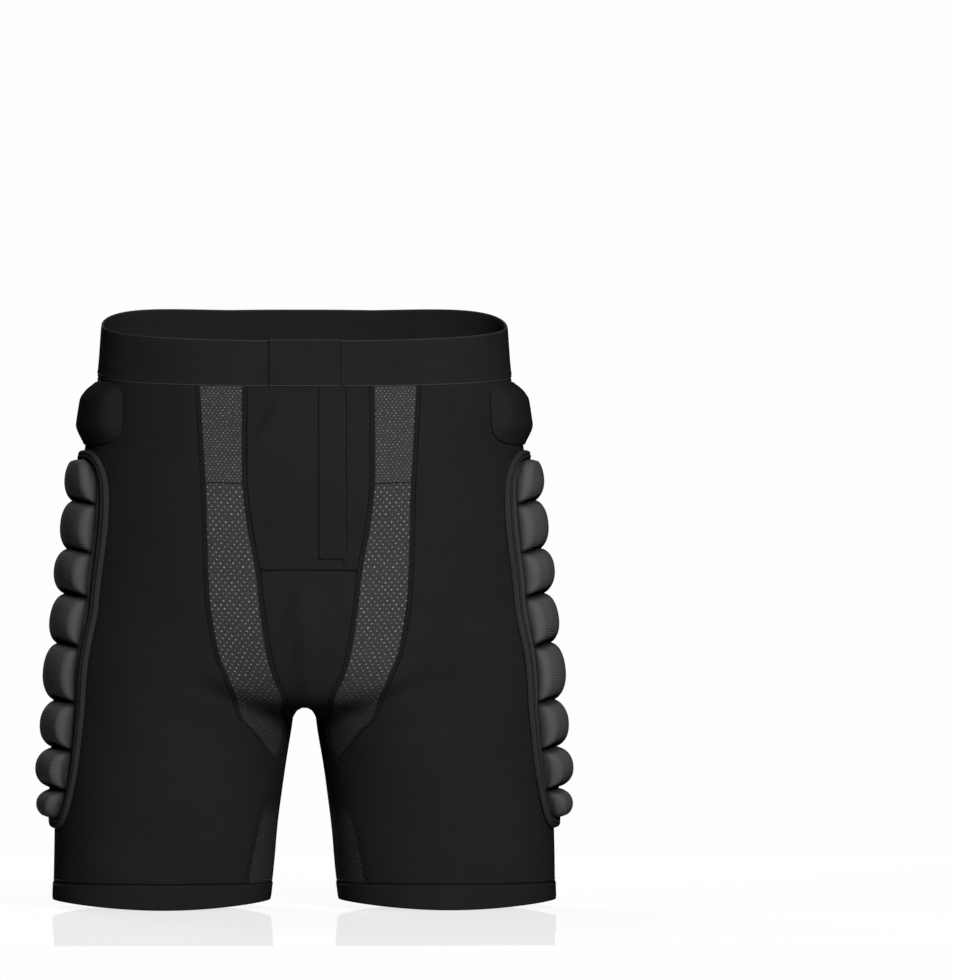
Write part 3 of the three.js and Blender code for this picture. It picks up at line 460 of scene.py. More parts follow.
# Folds in the cloth
# Stretch cloth lies close, with soft pulls that run up from the crotch and across the fly, and a fold
# under each half of the seat. Each pull is drawn as seen from the front (-1) or the back (1).
# side, from x and z, to x and z, depth, half width
pulls = (
    (-1, -26, -57, -50, -97, 2.6, 4),
    (-1, 20, -50, 30, -66, 1.2, 4),
    (-1, -12, -226, -32, -262, 2.2, 5),
    (-1, 14, -222, 34, -262, 1.9, 5),
    (-1, -4, -228, -1, -318, -2.4, 8),
    (-1, -60, -60, -64, -150, 0.9, 6),
    (-1, 100, -300, 46, -330, 2.4, 8),
    (-1, -100, -300, -46, -330, 2.4, 8),
    (-1, 130, -330, 60, -352, 0.8, 9),
    (-1, -130, -330, -60, -352, 0.8, 9),
    (-1, 120, -80, 150, -140, 0.7, 11),
    (-1, -120, -78, -150, -140, 0.7, 11),
    (-1, 108, -420, 175, -440, 0.5, 12),
    (-1, -100, -430, -175, -452, 0.5, 12),
    (1, 52, -334, 100, -314, 3.0, 7),
    (1, -52, -334, -100, -314, 3.0, 7),
    (1, 74, -312, 82, -340, 1.8, 6),
    (1, -74, -312, -82, -340, 1.8, 6),
    (1, 30, -346, 84, -376, 2.0, 9),
    (1, -30, -346, -84, -376, 2.0, 9),
    (1, 110, -428, 180, -440, 0.6, 12),
    (1, -108, -432, -180, -446, 0.6, 12),
)


folds_below = -46
folds_above = -486


def folds(p):
    """How far the cloth stands off its smooth shape, between the band and the hem."""
    x, y, z = p[..., 0], p[..., 1], p[..., 2]
    height = 0.42 * np.sin(x / 19 + z / 47 + 1.3) * np.sin(z / 23 - y / 31)
    height += 0.24 * np.sin(x / 11 - z / 17) * np.sin(y / 13 + z / 29 + 0.7)
    for side, x0, z0, x1, z1, depth, width in pulls:
        dx, dz = x1 - x0, z1 - z0
        length = dx * dx + dz * dz
        t = ((x - x0) * dx + (z - z0) * dz) / length
        near = np.clip(t, 0, 1)
        gap = np.hypot(x - x0 - near * dx, z - z0 - near * dz)
        taper = np.sin(np.pi * np.clip(0.08 + 0.84 * near, 0, 1))
        there = np.clip(y * side / 20, 0, 1)
        ridge = 0.45 * np.exp(-(((gap - 1.7 * width) / width) ** 2))
        height += depth * taper * there * (ridge - np.exp(-((gap / width) ** 2)))
    return height * np.clip((folds_below - z) / 18, 0, 1) * np.clip((z - folds_above) / 20, 0, 1)


# Materials that the cloth pieces share
# Two effects are made once: the loops of a knit, drawn on the cloth's own map in metres, and the uneven
# shade that every black cloth has.
def group(name, inputs, output, kind):
    """A node group with its inputs and its one output, still empty."""
    tree = bpy.data.node_groups.new(name, "ShaderNodeTree")
    for socket, socket_kind in inputs.items():
        tree.interface.new_socket(name=socket, in_out="INPUT", socket_type=f"NodeSocket{socket_kind}")
    tree.interface.new_socket(name=output, in_out="OUTPUT", socket_type=f"NodeSocket{kind}")
    return tree, tree.nodes.new("NodeGroupInput").outputs, tree.nodes.new("NodeGroupOutput")


def mix_color(tree, share, first, second):
    mixed = add_node(tree, "Mix", {"Factor": share, "A": first, "B": second}, data_type="RGBA")
    return mixed.outputs["Result"]


def mark(tree, name):
    """A number that the mesh holds at each of its points."""
    return add_node(tree, "Attribute", {}, attribute_name=name).outputs["Fac"]


knit_loops, knit_in, knit_out = group(
    "knit_loops", {"Map": "Vector", "Column pitch": "Float", "Row pitch": "Float"}, "Height", "Float")


def knit_math(operation, *values):
    return math_node(knit_loops, operation, *values)


knit_at = add_node(knit_loops, "SeparateXYZ", {0: knit_in["Map"]}).outputs
knit_across = knit_math("DIVIDE", knit_at[0], knit_in["Column pitch"])
knit_down = knit_math("DIVIDE", knit_at[1], knit_in["Row pitch"])
knit_column = knit_math("ABSOLUTE", knit_math("SINE", knit_math("MULTIPLY", knit_across, 2 * math.pi)))
knit_lean = knit_math("MULTIPLY_ADD", knit_column, 0.35, knit_down)
knit_row = knit_math("SINE", knit_math("MULTIPLY", knit_lean, 2 * math.pi))
knit_noise = add_node(knit_loops, "TexNoise", {"Vector": knit_in["Map"], "Scale": 900, "Detail": 2})
knit_fuzz = knit_math("MULTIPLY", knit_noise.outputs[0], 0.3)
knit_patch = add_node(knit_loops, "TexNoise", {"Vector": knit_in["Map"], "Scale": 55})
knit_depth = knit_math("MAXIMUM", knit_math("MULTIPLY_ADD", knit_patch.outputs[0], 2.8, -1.1), 0.06)
knit_rib = knit_math("MULTIPLY", knit_row, knit_depth)
knit_both = knit_math("MULTIPLY_ADD", knit_rib, 0.5, knit_math("MULTIPLY", knit_column, 0.5))
fill_in(knit_out, {"Height": knit_math("ADD", knit_both, knit_fuzz)})

dye_shade, dye_in, dye_out = group(
    "dye_shade", {"Dark": "Color", "Light": "Color", "Amount": "Float"}, "Color", "Color")
dye_place = add_node(dye_shade, "TexCoord", {}).outputs["Object"]
dye_noise = add_node(dye_shade, "TexNoise", {"Vector": dye_place, "Scale": 14, "Detail": 4})
dye_spread = math_node(dye_shade, "SUBTRACT", dye_noise.outputs[0], 0.5)
dye_share = math_node(dye_shade, "MULTIPLY_ADD", dye_spread, dye_in["Amount"], 0.5)
fill_in(dye_out, {"Color": mix_color(dye_shade, dye_share, dye_in["Dark"], dye_in["Light"])})


def dyed(name, dark, light, rough=0.6, gloss=0, amount=0.6):
    """A material with its shader and its dye in two shades."""
    made = bpy.data.materials.new(name)
    made.use_nodes = True
    tree = made.node_tree
    dye = add_node(tree, "Group", {"Dark": dark, "Light": light, "Amount": amount}, node_tree=dye_shade)
    shader = fill_in(tree.nodes["Principled BSDF"], {
        "Base Color": dye.outputs[0], "Roughness": rough, "Specular IOR Level": gloss,
    })
    return made, shader, dye.outputs[0]


def knitted(name, dark, light, columns, rows, bump, rough=0.6):
    """The same for a knit, whose loops stand out in relief; its pitches are in metres."""
    made, shader, dye = dyed(name, dark, light, rough)
    tree = made.node_tree
    cut = add_node(tree, "UVMap", {}, uv_map="cut").outputs[0]
    loops = add_node(
        tree, "Group", {"Map": cut, "Column pitch": columns, "Row pitch": rows}, node_tree=knit_loops)
    relief = add_node(tree, "Bump", {"Distance": bump, "Height": loops.outputs[0]})
    fill_in(shader, {"Normal": relief.outputs[0]})
    return made, shader, dye


def paint_edge_shading(shader, color, edge, reach, tint):
    """A painted line along a piece's edges where it is folded into its seam: painted shadow with a dark
    tint, painted highlight with a light one.
    """
    tree = shader.id_data
    near = add_node(tree, "MapRange", {
        "Value": mark(tree, edge), "From Min": reach, "From Max": 0.3 * reach,
    }, interpolation_type="SMOOTHSTEP")
    shade = mix_color(tree, near.outputs[0], color, tint)
    fill_in(shader, {"Base Color": shade})
    return shade


def outward(points, faces):
    """The faces of a closed piece, turned to point out."""
    a, b, c, d = (points[faces[:, k]] for k in range(4))
    volume = (a * np.cross(b, c)).sum() + (a * np.cross(c, d)).sum()
    return faces if volume > 0 else faces[:, ::-1]


def made_mesh(name, points, faces, flat, material, marks):
    """A piece from points and a cut map in millimetres, put in its node's place."""
    faces = outward(points, faces)
    mesh = bpy.data.meshes.new(f"{name}_piece")
    mesh.from_pydata((points / 1000).tolist(), [], faces.tolist())
    layer = mesh.uv_layers.new(name="cut")
    corner_points = np.empty(len(mesh.loops), np.int32)
    mesh.loops.foreach_get("vertex_index", corner_points)
    layer.data.foreach_set("uv", (flat[corner_points] / 1000).astype(np.float32).ravel())
    for key, values in marks.items():
        attribute = mesh.attributes.new(key, "FLOAT", "POINT")
        attribute.data.foreach_set("value", values.astype(np.float32))
    mesh.materials.append(material)
    piece = bpy.data.objects.new(f"{name}_piece", mesh)
    bpy.context.collection.objects.link(piece)
    bpy.context.view_layer.objects.active = piece
    piece.select_set(True)
    bpy.ops.object.shade_smooth_by_angle(angle=math.radians(50))
    piece.select_set(False)
    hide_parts(name)
    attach(piece, "root")
    return piece


def shell_faces(down, count, closed):
    """Faces of a closed cloth: an outer layer, an inner one, and the edges between them."""
    columns = np.arange(count if closed else count - 1)
    j, i = np.meshgrid(np.arange(down - 1), columns, indexing="ij")
    j, i = j.ravel(), i.ravel()
    k = (i + 1) % count
    size = down * count

    def at(layer, row, col):
        return layer * size + row * count + col

    outer = np.stack([at(0, j, i), at(0, j + 1, i), at(0, j + 1, k), at(0, j, k)], 1)
    inner = np.stack([at(1, j, i), at(1, j, k), at(1, j + 1, k), at(1, j + 1, i)], 1)
    n = (columns + 1) % count
    first = np.stack([at(0, 0, columns), at(0, 0, n), at(1, 0, n), at(1, 0, columns)], 1)
    end = down - 1
    last = np.stack([at(0, end, n), at(0, end, columns), at(1, end, columns), at(1, end, n)], 1)
    faces = [outer, inner, first, last]
    if not closed:
        top = np.arange(down - 1)
        foot = top + 1
        far = count - 1
        faces.append(np.stack([at(0, foot, 0), at(0, top, 0), at(1, top, 0), at(1, foot, 0)], 1))
        faces.append(np.stack([at(0, top, far), at(0, foot, far), at(1, foot, far), at(1, top, far)], 1))
    return np.vstack(faces)


def run(grid, axis):
    """How far along its row (1) or column (0) each point of a grid lies."""
    steps = np.diff(grid, axis=axis, prepend=np.take(grid, [0], axis))
    return np.cumsum(np.linalg.norm(steps, axis=-1), axis)


seam_dip = 0.35
seam_reach = 1.6


def cloth(name, rows, wall, lift, material, side=1, closed=False, painted_shade_free_at=None):
    """One cut piece of cloth on the body, with its edges turned down into the seams."""
    grid = settle(rows)
    down, count = grid.shape[:2]
    along = run(grid, 1)
    below = run(grid, 0)
    edge = np.minimum(below, below[-1] - below)
    side_edge = np.full((down, count), 99.0)
    if not closed:
        side_edge = np.minimum(along, along[:, -1:] - along)
        edge = np.minimum(edge, side_edge)
        along = along - along[:, count // 2, None]
    out = facing(grid)
    stand = lift + folds(grid)
    turn = seam_dip * np.exp(-((edge / seam_reach) ** 2))
    outer = grid + out * (stand - turn)[..., None]
    inner = grid + out * (stand - wall + 0.6 * turn)[..., None]
    points = np.concatenate([outer.reshape(-1, 3), inner.reshape(-1, 3)]) * (side, 1, 1)
    flat = np.tile(np.stack([along, -below], -1).reshape(-1, 2), (2, 1))
    # The mesh pieces carry painted shade: how free each point is of it.
    free_of_painted_shade_share = painted_shade_free_at(grid) if painted_shade_free_at else np.ones((down, count))
    marks = {"edge": edge, "side_edge": side_edge, "mesh_free_of_painted_shade": free_of_painted_shade_share}
    marks = {key: np.tile(values.ravel(), 2) for key, values in marks.items()}
    piece = made_mesh(name, points, shell_faces(down, count, closed), flat, material, marks)


# Main panels
# Two large panels of black warp-knit stretch cloth, from the mesh strip round the side to the back seam
# and down to the hem. They meet at the back in one seam and are sewn flat to their neighbours.
shell_shades = ((0.0105, 0.0105, 0.0115), (0.0185, 0.0185, 0.0195))
# Painted shadow in the seams, where the cloth turns down into them.
painted_seam_shadow = (0.006, 0.006, 0.0063)
shell_knit, shell_face, shell_dye = knitted("black_knit", *shell_shades, 0.0011, 0.0009, 0.00012, 0.66)
paint_edge_shading(shell_face, shell_dye, "edge", 1.2, painted_seam_shadow)
cloth_wall = 1.5
pair = (("_left", 1), ("_right", -1))
panel_grid = sweep(panel_outer, panel_back, 20, 1)
top_angles = angle_of(panel_grid[0])
panel_grid[0] = on_rise(2 * band_cover - band_height, band_edge_rise, lambda z: around(top_angles, z))
panel_rows = finer(panel_grid, 9, 6)
for ending, side in pair:
    cloth("leg_panel" + ending, panel_rows, cloth_wall, 0, shell_knit, side)

# Centre front and pouch
# A flat panel behind the fly, and below its level seam a shaped pouch that runs under the crotch between
# the thighs and ends in a point at the back seam.
front_rows = over(mirrored(strip_inner[:6]), strip_inner[:6], 10)
cloth("centre_front_panel", finer(front_rows, 9, 5), cloth_wall, 0, shell_knit)
thigh_top = sweep(thigh_front_seam[:1], thigh_back_seam[:1], 6, -1)[0]
pouch_tip = back_at(0.014 * half_hip, torso_level[-1] + 6)
pouch_side = np.vstack([strip_inner[5:], thigh_top, back_seam[-1:] + (1.5, 0, 0), pouch_tip])
pouch_rows = over(mirrored(pouch_side), pouch_side, 10)
cloth("pouch_panel", finer(pouch_rows, 8, 4), cloth_wall, 0, shell_knit)

# Mesh strips and inner thighs
# Open spacer mesh lets the heat out: a strip down each side of the front, and a panel inside each thigh.
# Its knots are lighter than its ground, and its edges lie under a narrow dark tape.
mesh_knit, mesh_face, mesh_dye = dyed("spacer_mesh", (0.027, 0.027, 0.028), (0.048, 0.048, 0.05))
mesh_tree = mesh_knit.node_tree


def mesh_math(operation, *values):
    return math_node(mesh_tree, operation, *values)


mesh_map = add_node(mesh_tree, "UVMap", {}, uv_map="cut").outputs[0]
mesh_at = add_node(mesh_tree, "SeparateXYZ", {0: mesh_map}).outputs
# Above the seam across each strip the mesh is finer.
level_seam = -0.084
mesh_coarse = mesh_math("LESS_THAN", mesh_at[1], level_seam)
knot_pitch_across = mesh_math("MULTIPLY_ADD", mesh_coarse, 0.0019, 0.0035)
knot_pitch_down = mesh_math("MULTIPLY_ADD", mesh_coarse, 0.0008, 0.0024)
knot_drift = add_node(mesh_tree, "TexNoise", {"Vector": mesh_map, "Scale": 90, "Detail": 3})
knot_shift = mesh_math("MULTIPLY_ADD", knot_drift.outputs[0], 1.4, -0.7)
knot_row = mesh_math("ADD", mesh_math("DIVIDE", mesh_at[1], knot_pitch_down), knot_shift)
knot_odd = mesh_math("MULTIPLY", mesh_math("FLOORED_MODULO", mesh_math("FLOOR", knot_row), 2), 0.5)
knot_column = mesh_math("ADD", mesh_math("DIVIDE", mesh_at[0], knot_pitch_across), knot_odd)
knot_x = mesh_math("MULTIPLY", mesh_math("SUBTRACT", mesh_math("FRACT", knot_column), 0.5), 1.3)
knot_y = mesh_math("SUBTRACT", mesh_math("FRACT", knot_row), 0.5)
knot_far = mesh_math("SQRT", mesh_math("ADD", mesh_math("POWER", knot_x, 2), mesh_math("POWER", knot_y, 2)))
knot_mask = add_node(mesh_tree, "MapRange", {
    "Value": knot_far, "From Min": 0.27, "From Max": 0.08,
}, interpolation_type="SMOOTHSTEP").outputs[0]
knot_uneven = add_node(mesh_tree, "TexNoise", {"Vector": mesh_map, "Scale": 260, "Detail": 3})
# Painted shade on the mesh: where its mark is low, the knots fade and the colour goes to near black.
knots_free_of_painted_shade = mark(mesh_tree, "mesh_free_of_painted_shade")
knot_light = mesh_math("MULTIPLY", mesh_math("MULTIPLY", knot_mask, knots_free_of_painted_shade), mesh_math(
    "MULTIPLY_ADD", knot_uneven.outputs[0], 3.2, -1))
knot_color = mix_color(mesh_tree, knot_light, mesh_dye, (0.34, 0.34, 0.35))
mesh_with_painted_shade = mix_color(mesh_tree, knots_free_of_painted_shade, (0.013, 0.013, 0.014), knot_color)
tape_mask = add_node(mesh_tree, "MapRange", {
    "Value": mark(mesh_tree, "side_edge"), "From Min": 4.6, "From Max": 3.8,
}).outputs[0]
seam_far = mesh_math("ABSOLUTE", mesh_math("SUBTRACT", mesh_at[1], level_seam))
seam_mask = mesh_math(
    "MULTIPLY", mesh_math("LESS_THAN", seam_far, 0.0006), mesh_math("GREATER_THAN", knots_free_of_painted_shade, 0.9))
tape_share = mesh_math("MAXIMUM", tape_mask, seam_mask)
fill_in(mesh_face, {
    "Base Color": mix_color(mesh_tree, tape_share, mesh_with_painted_shade, (0.0115, 0.0115, 0.012)),
    "Normal": add_node(mesh_tree, "Bump", {"Distance": 0.0006, "Height": knot_mask}).outputs[0],
})


def painted_shade_inner_thigh(grid):
    """Painted shade over the mesh inside the thigh: full above, and only partly lifted low down, where a few
    knots show.
    """
    return 0.4 * np.clip((-grid[..., 2] - 402) / 18, 0, 1)


def painted_shade_toward_crotch(grid):
    """Painted shade over the strips toward the crotch, where they turn under: their knots fade and they
    darken.
    """
    return 1 - 0.6 * np.clip((-grid[..., 2] - 285) / 45, 0, 1)


strip_start = np.vstack([strip_inner, thigh_front_seam[:4]])
strip_stop = np.vstack([strip_outer, strip_tail])
strip_rows = finer(over(strip_start, strip_stop, 5), 9, 5)
thigh_rows = finer(sweep(thigh_front_seam, thigh_back_seam, 8, -1), 9, 5)
for ending, side in pair:
    for name, rows, painted_shade_free_at in (
        ("mesh_strip", strip_rows, painted_shade_toward_crotch),
        ("inner_thigh_panel", thigh_rows, painted_shade_inner_thigh),
    ):
        cloth(name + ending, rows, cloth_wall, 0, mesh_knit, side, painted_shade_free_at=painted_shade_free_at)

# Hems
# Each leg ends in a doubled band of the same knit, turned up and sewn with two rows of stitches.
hem_wall = 2.2
leg_middle = leg_at(np.array(hem_top))[0]
hem_angles = -2 * np.pi * np.arange(48) / 48
hem_low = hem_top - hem_height - hem_sweep * np.sin(hem_angles) ** 2 + hem_sweep
hem_grid = np.stack([
    leave(spot(leg_middle, 0, mix(hem_top, hem_low, t)), turned(hem_angles))
    for t in (0, 0.25, 0.5, 0.75, 1)
])
hem_rows = finer(hem_grid, 3, 4, True)
hem_lift = hem_wall - cloth_wall
for ending, side in pair:
    cloth("leg_hem" + ending, hem_rows, hem_wall, hem_lift, shell_knit, side, closed=True)

# Waistband
# A broad woven elastic with fine level ribs, sewn to the shell along its lower edge. Its ends meet at the
# front under a shorter piece of the same elastic.
band_wall = 2.4
elastic, elastic_face, elastic_dye = knitted(
    "ribbed_elastic", (0.0125, 0.0125, 0.0135), (0.02, 0.02, 0.0215), 0.0016, 0.0021, 0.00035)
# Painted highlight along the elastic's top and lower edges, then painted shadow at the front patch's ends.
elastic_painted_rim = paint_edge_shading(elastic_face, elastic_dye, "edge", 1.1, (0.042, 0.042, 0.044))
paint_edge_shading(elastic_face, elastic_painted_rim, "side_edge", 1.2, painted_seam_shadow)
band_angles = -2 * np.pi * np.arange(96) / 96


def band_ring(level, climb, flat):
    return on_rise(level, climb, lambda z: leave(spot(0, 0, z), turned(band_angles)), flat)


band_grid = np.stack([
    band_ring(mix(0, -band_height, t), mix(rim_rise, band_edge_rise, t), 1.7 * (1 - t))
    for t in np.linspace(0, 1, 6)
])
band_rows = finer(band_grid, 4, 3, True)
cloth("waistband", band_rows, band_wall, band_wall - cloth_wall, elastic, closed=True)

patch_wall = 1
patch_x = np.linspace(-33.5, 27.5, 9)


def patch_row(level, climb):
    return on_rise(level, climb, lambda z: front_at(patch_x, z))


patch_grid = np.stack([
    patch_row(mix(0.6, -band_height - 0.3, t), mix(rim_rise, band_edge_rise, t))
    for t in np.linspace(0, 1, 7)
])
patch_rows = finer(patch_grid, 4, 6)
cloth("waistband_front_patch", patch_rows, patch_wall, band_wall - 0.2, elastic)

# Fly placket
# A doubled strip of the shell cloth, sewn down all round beside the fly.
placket_wall = 0.9
placket_top = 1 - band_height - band_edge_rise
placket_foot = -band_height - band_edge_rise - 146
placket_x = np.linspace(8, 32, 5)
placket_grid = np.stack([front_at(placket_x, level) for level in np.linspace(placket_top, placket_foot, 12)])
cloth("fly_placket", finer(placket_grid, 4, 5), placket_wall, placket_wall, shell_knit)

# Pads
# Moulded foam under a thin ribbed knit, pressed into blocks with channels between them so that it bends.
# The outlines and blocks are drawn flat, as the foam is moulded, and laid on the body.
pad_seat = 1.3
pad_wall = 4
binding_seat = 1.8
binding_width = 5.5
binding_height = 5.5
channel_width = 7
rim_margin = 4.5
seam_gap = 0.3


def paint_hollow_shade(shader, color, dark):
    """Painted shade: mixes the dye to a dark colour in a pad's channels, creases and grooves, from the mark
    the pad holds for it.
    """
    tree = shader.id_data
    fill_in(shader, {"Base Color": mix_color(tree, mark(tree, "free_of_painted_shade"), dark, color)})


pad_knit, pad_face, pad_dye = knitted(
    "ribbed_pad_knit", (0.06, 0.06, 0.062), (0.086, 0.086, 0.088), 1.0, 0.0021, 0.0005)
# Painted shade in the pad's channels and creases, in near black.
paint_hollow_shade(pad_face, pad_dye, (0.006, 0.006, 0.0064))
tape_knit, tape_face, tape_dye = knitted(
    "binding_tape", (0.02, 0.02, 0.021), (0.032, 0.032, 0.0335), 0.0014, 0.0014, 0.00015)
# Painted shade in the binding's stitched groove.
paint_hollow_shade(tape_face, tape_dye, (0.004, 0.004, 0.0042))


def smooth_outline(points, pitch):
    """A smooth closed line through points, sampled evenly."""
    points = np.array(points, float)
    count = len(points)
    line = []
    for i in range(count):
        p = [points[(i + k) % count] for k in (-1, 0, 1, 2)]
        knots = np.cumsum([0] + [np.linalg.norm(p[k + 1] - p[k]) ** 0.5 for k in range(3)])
        for t in np.linspace(knots[1], knots[2], 12, endpoint=False):
            a = [mix(p[k], p[k + 1], (t - knots[k]) / (knots[k + 1] - knots[k])) for k in range(3)]
            b = [mix(a[k], a[k + 1], (t - knots[k]) / (knots[k + 2] - knots[k])) for k in range(2)]
            line.append(mix(b[0], b[1], (t - knots[1]) / (knots[2] - knots[1])))
    line = np.array(line)
    steps = np.linalg.norm(np.roll(line, -1, 0) - line, axis=1)
    total = steps.sum()
    number = int(math.ceil(total / pitch))
    place = np.arange(number) * total / number
    reached = np.concatenate([[0], np.cumsum(steps)])
    ring = np.vstack([line, line[:1]])
    outline = np.stack([np.interp(place, reached, ring[:, k]) for k in (0, 1)], 1)
    area = np.cross(outline, np.roll(outline, -1, 0)).sum()
    return outline if area < 0 else outline[::-1]


def moved_in(outline, distance):
    before = outline - np.roll(outline, 1, 0)
    after = np.roll(outline, -1, 0) - outline
    before /= np.linalg.norm(before, axis=1, keepdims=True)
    after /= np.linalg.norm(after, axis=1, keepdims=True)
    first = np.stack([before[:, 1], -before[:, 0]], 1)
    second = np.stack([after[:, 1], -after[:, 0]], 1)
    way = first + second
    way /= np.linalg.norm(way, axis=1, keepdims=True)
    stretch = np.maximum((way * first).sum(1), 0.5)
    return outline + way * (distance / stretch)[:, None]


def crossing(outline, level, side):
    """Where an outline crosses a height, at its left or right."""
    level = np.clip(level, outline[:, 1].min() + 0.1, outline[:, 1].max() - 0.1)
    p, q = outline, np.roll(outline, -1, 0)
    hit = (p[:, 1] > level) != (q[:, 1] > level)
    x = p[hit, 0] + (q[hit, 0] - p[hit, 0]) * (level - p[hit, 1]) / (q[hit, 1] - p[hit, 1])
    return x.min() if side < 0 else x.max()


def depth_in(p, polygon):
    """How far points lie inside a polygon: above 0 inside, below 0 outside."""
    a = np.asarray(polygon, float)
    b = np.roll(a, -1, 0)
    nearest = np.full(p.shape[:-1], 1e9)
    inside = np.zeros(p.shape[:-1], bool)
    for s, e in zip(a, b):
        d = e - s
        t = np.clip(((p - s) @ d) / (d @ d), 0, 1)
        nearest = np.minimum(nearest, np.linalg.norm(p - s - t[..., None] * d, axis=-1))
        if s[1] != e[1]:
            crosses = (s[1] > p[..., 1]) != (e[1] > p[..., 1])
            inside ^= crosses & (p[..., 0] < s[0] + (p[..., 1] - s[1]) * d[0] / d[1])
    return np.where(inside, nearest, -nearest)


def shoulder(depth, width):
    """A rounded rise from 0 to 1 over a width."""
    t = np.clip(depth / width, 0, 1)
    return np.sqrt(1 - (1 - t) ** 2.2)


def pad_grid(outline, pitch):
    """Rows of points that fill an outline, closer together toward its top and foot."""
    low, high = outline[:, 1].min(), outline[:, 1].max()
    rows = int((high - low) / pitch)
    t = np.linspace(0, 1, rows + 1)
    eased = t - 0.95 * np.sin(2 * np.pi * t) / (2 * np.pi)
    blend = np.clip(np.minimum(t, 1 - t) * rows / 12, 0, 1)
    levels = high - (high - low) * mix(eased, t, 0.75 * blend)
    wide = outline[:, 0].max() - outline[:, 0].min()
    columns = int(wide / pitch)
    grid = np.empty((rows + 1, columns + 1, 2))
    for j, level in enumerate(levels):
        left = crossing(outline, level, -1)
        right = crossing(outline, level, 1)
        grid[j, :, 0] = np.linspace(left, right, columns + 1)
        grid[j, :, 1] = np.clip(level, low + 0.02, high - 0.02)
    return grid


def moulded(name, outline, height, place, material, pitch, hands=pair):
    """A moulded pad: a height for every place in its flat outline, and a flat back."""
    grid = pad_grid(outline, pitch)
    stand, free_of_painted_shade = height(grid)
    down, count = grid.shape[:2]
    foot = place(grid[..., 0], grid[..., 1])
    out = facing(foot)
    top = foot + out * stand[..., None]
    back = foot + out * pad_seat
    points = np.concatenate([top.reshape(-1, 3), back.reshape(-1, 3)])
    flat = np.tile(grid.reshape(-1, 2), (2, 1))
    # The painted-shade mark: the moulded face has its own, and the flat back is in full painted shade.
    marks = {"free_of_painted_shade": np.concatenate([free_of_painted_shade.ravel(), np.zeros(down * count)])}
    faces = shell_faces(down, count, False)
    for ending, side in hands:
        piece = made_mesh(name + ending, points * (side, 1, 1), faces, flat, material, marks)


def bound(name, outline, place, hands=pair, width=binding_width):
    """The knit tape about a pad's edge: a rounded rim with a stitched groove along it."""
    # how far out across the tape, how high
    section = np.array([
        (0, 0), (0.02, 0.62), (0.1, 0.86), (0.22, 0.98), (0.34, 0.98), (0.44, 0.88), (0.5, 0.7),
        (0.56, 0.88), (0.66, 0.94), (0.78, 0.84), (0.9, 0.55), (0.98, 0.2), (1, 0),
    ])
    # Painted shade in the stitched groove along the middle of the tape.
    groove = np.where(np.abs(section[:, 0] - 0.5) < 0.07, 0.45, 1.0)
    ring = np.stack([moved_in(outline, -seam_gap - out * width) for out in section[:, 0]])
    foot = place(ring[..., 0], ring[..., 1])
    height = mix(binding_seat, binding_height, section[:, 1])
    points = (foot + facing(foot) * height[:, None, None]).reshape(-1, 3)
    down, count = ring.shape[:2]
    i = np.arange(count)
    k = (i + 1) % count
    faces = []
    for j in range(down):
        n = (j + 1) % down
        faces.append(np.stack([j * count + i, n * count + i, n * count + k, j * count + k], 1))
    faces = np.vstack(faces)
    along = run(outline[:, None], 0)[:, 0]
    flat = np.stack(np.broadcast_arrays(along[None, :], section[:, :1] * width), -1).reshape(-1, 2)
    marks = {"free_of_painted_shade": groove.repeat(count)}
    for ending, side in hands:
        made_mesh(name + ending, points * (side, 1, 1), faces, flat, tape_knit, marks)


def on_back(a, b):
    return back_at(np.where(np.abs(a) < 0.001, 0.001, a), b)


def pad_blocks(lines, outline, top, length, unit, table, steps=10):
    """The outlines of a pad's blocks, each between two lines that run down the pad."""
    rim = moved_in(outline, rim_margin)

    def at(name, b, way):
        if name == "rim":
            return crossing(rim, b, -way)
        share = (top - b) / length
        return float(column(lines[name], 1, share)) * unit + way * channel_width / 2

    blocks = []
    for name_in, name_out, levels in table:
        top_in, top_out, foot_in, foot_out = (top - level * length for level in levels)
        block = [(at(name_in, b, 1), b) for b in np.linspace(top_in, foot_in, steps + 1)]
        block += [(at(name_out, b, -1), b) for b in np.linspace(foot_out, top_out, steps + 1)]
        blocks.append(block)
    return blocks


def block_heights(blocks, outline, floor, top, round_over, crown):
    """The moulded face: level channels, and blocks with rounded shoulders and a slight crown. It also
    returns how free each point is of painted shade, which falls on the channels, the creases at the blocks'
    feet, the rim groove and the shoulders.
    """
    def height(grid):
        stand = np.full(grid.shape[:-1], float(floor))
        nearest = np.full(grid.shape[:-1], -99.0)
        for block in blocks:
            depth = depth_in(grid, block)
            nearest = np.maximum(nearest, depth)
            wall_rise = shoulder(depth + 0.4, 2.2)
            bevel = np.clip(depth / round_over, 0, 1)
            slope_rise = 1.5 * bevel - 0.5 * bevel**3
            dome = 1 - np.exp(-np.maximum(depth, 0) / 12)
            share = 0.5 * wall_rise + 0.5 * slope_rise
            stand = np.maximum(stand, floor + (top - floor) * share + crown * dome)
        crease = np.exp(-(((nearest + 0.9) / 1.5) ** 2))
        stand = stand - 1.2 * crease
        rim = depth_in(grid, outline)
        groove = np.exp(-(((rim - 0.9) / 1.1) ** 2))
        stand = stand - 0.8 * groove
        stand = mix(pad_seat + 0.8, stand, np.clip(rim / 1.2, 0, 1))
        # Painted shade: on the channel floors, in the creases at the blocks' feet, in the rim groove, and a
        # little on the shoulders.
        free_of_painted_shade = np.where(nearest > 0, 0.75 + 0.25 * np.clip(nearest / 4, 0, 1), 0.48)
        free_of_painted_shade = free_of_painted_shade * (1 - 0.97 * crease) * (1 - 0.7 * groove)
        return stand, free_of_painted_shade
    return height


# Tail pad
# The large pad over the seat and tailbone: a broad shield of fifteen blocks, seven on each side of a
# channel down the middle and one in the point between the legs.
tail_half = 149
tail_top = -52
tail_length = 267
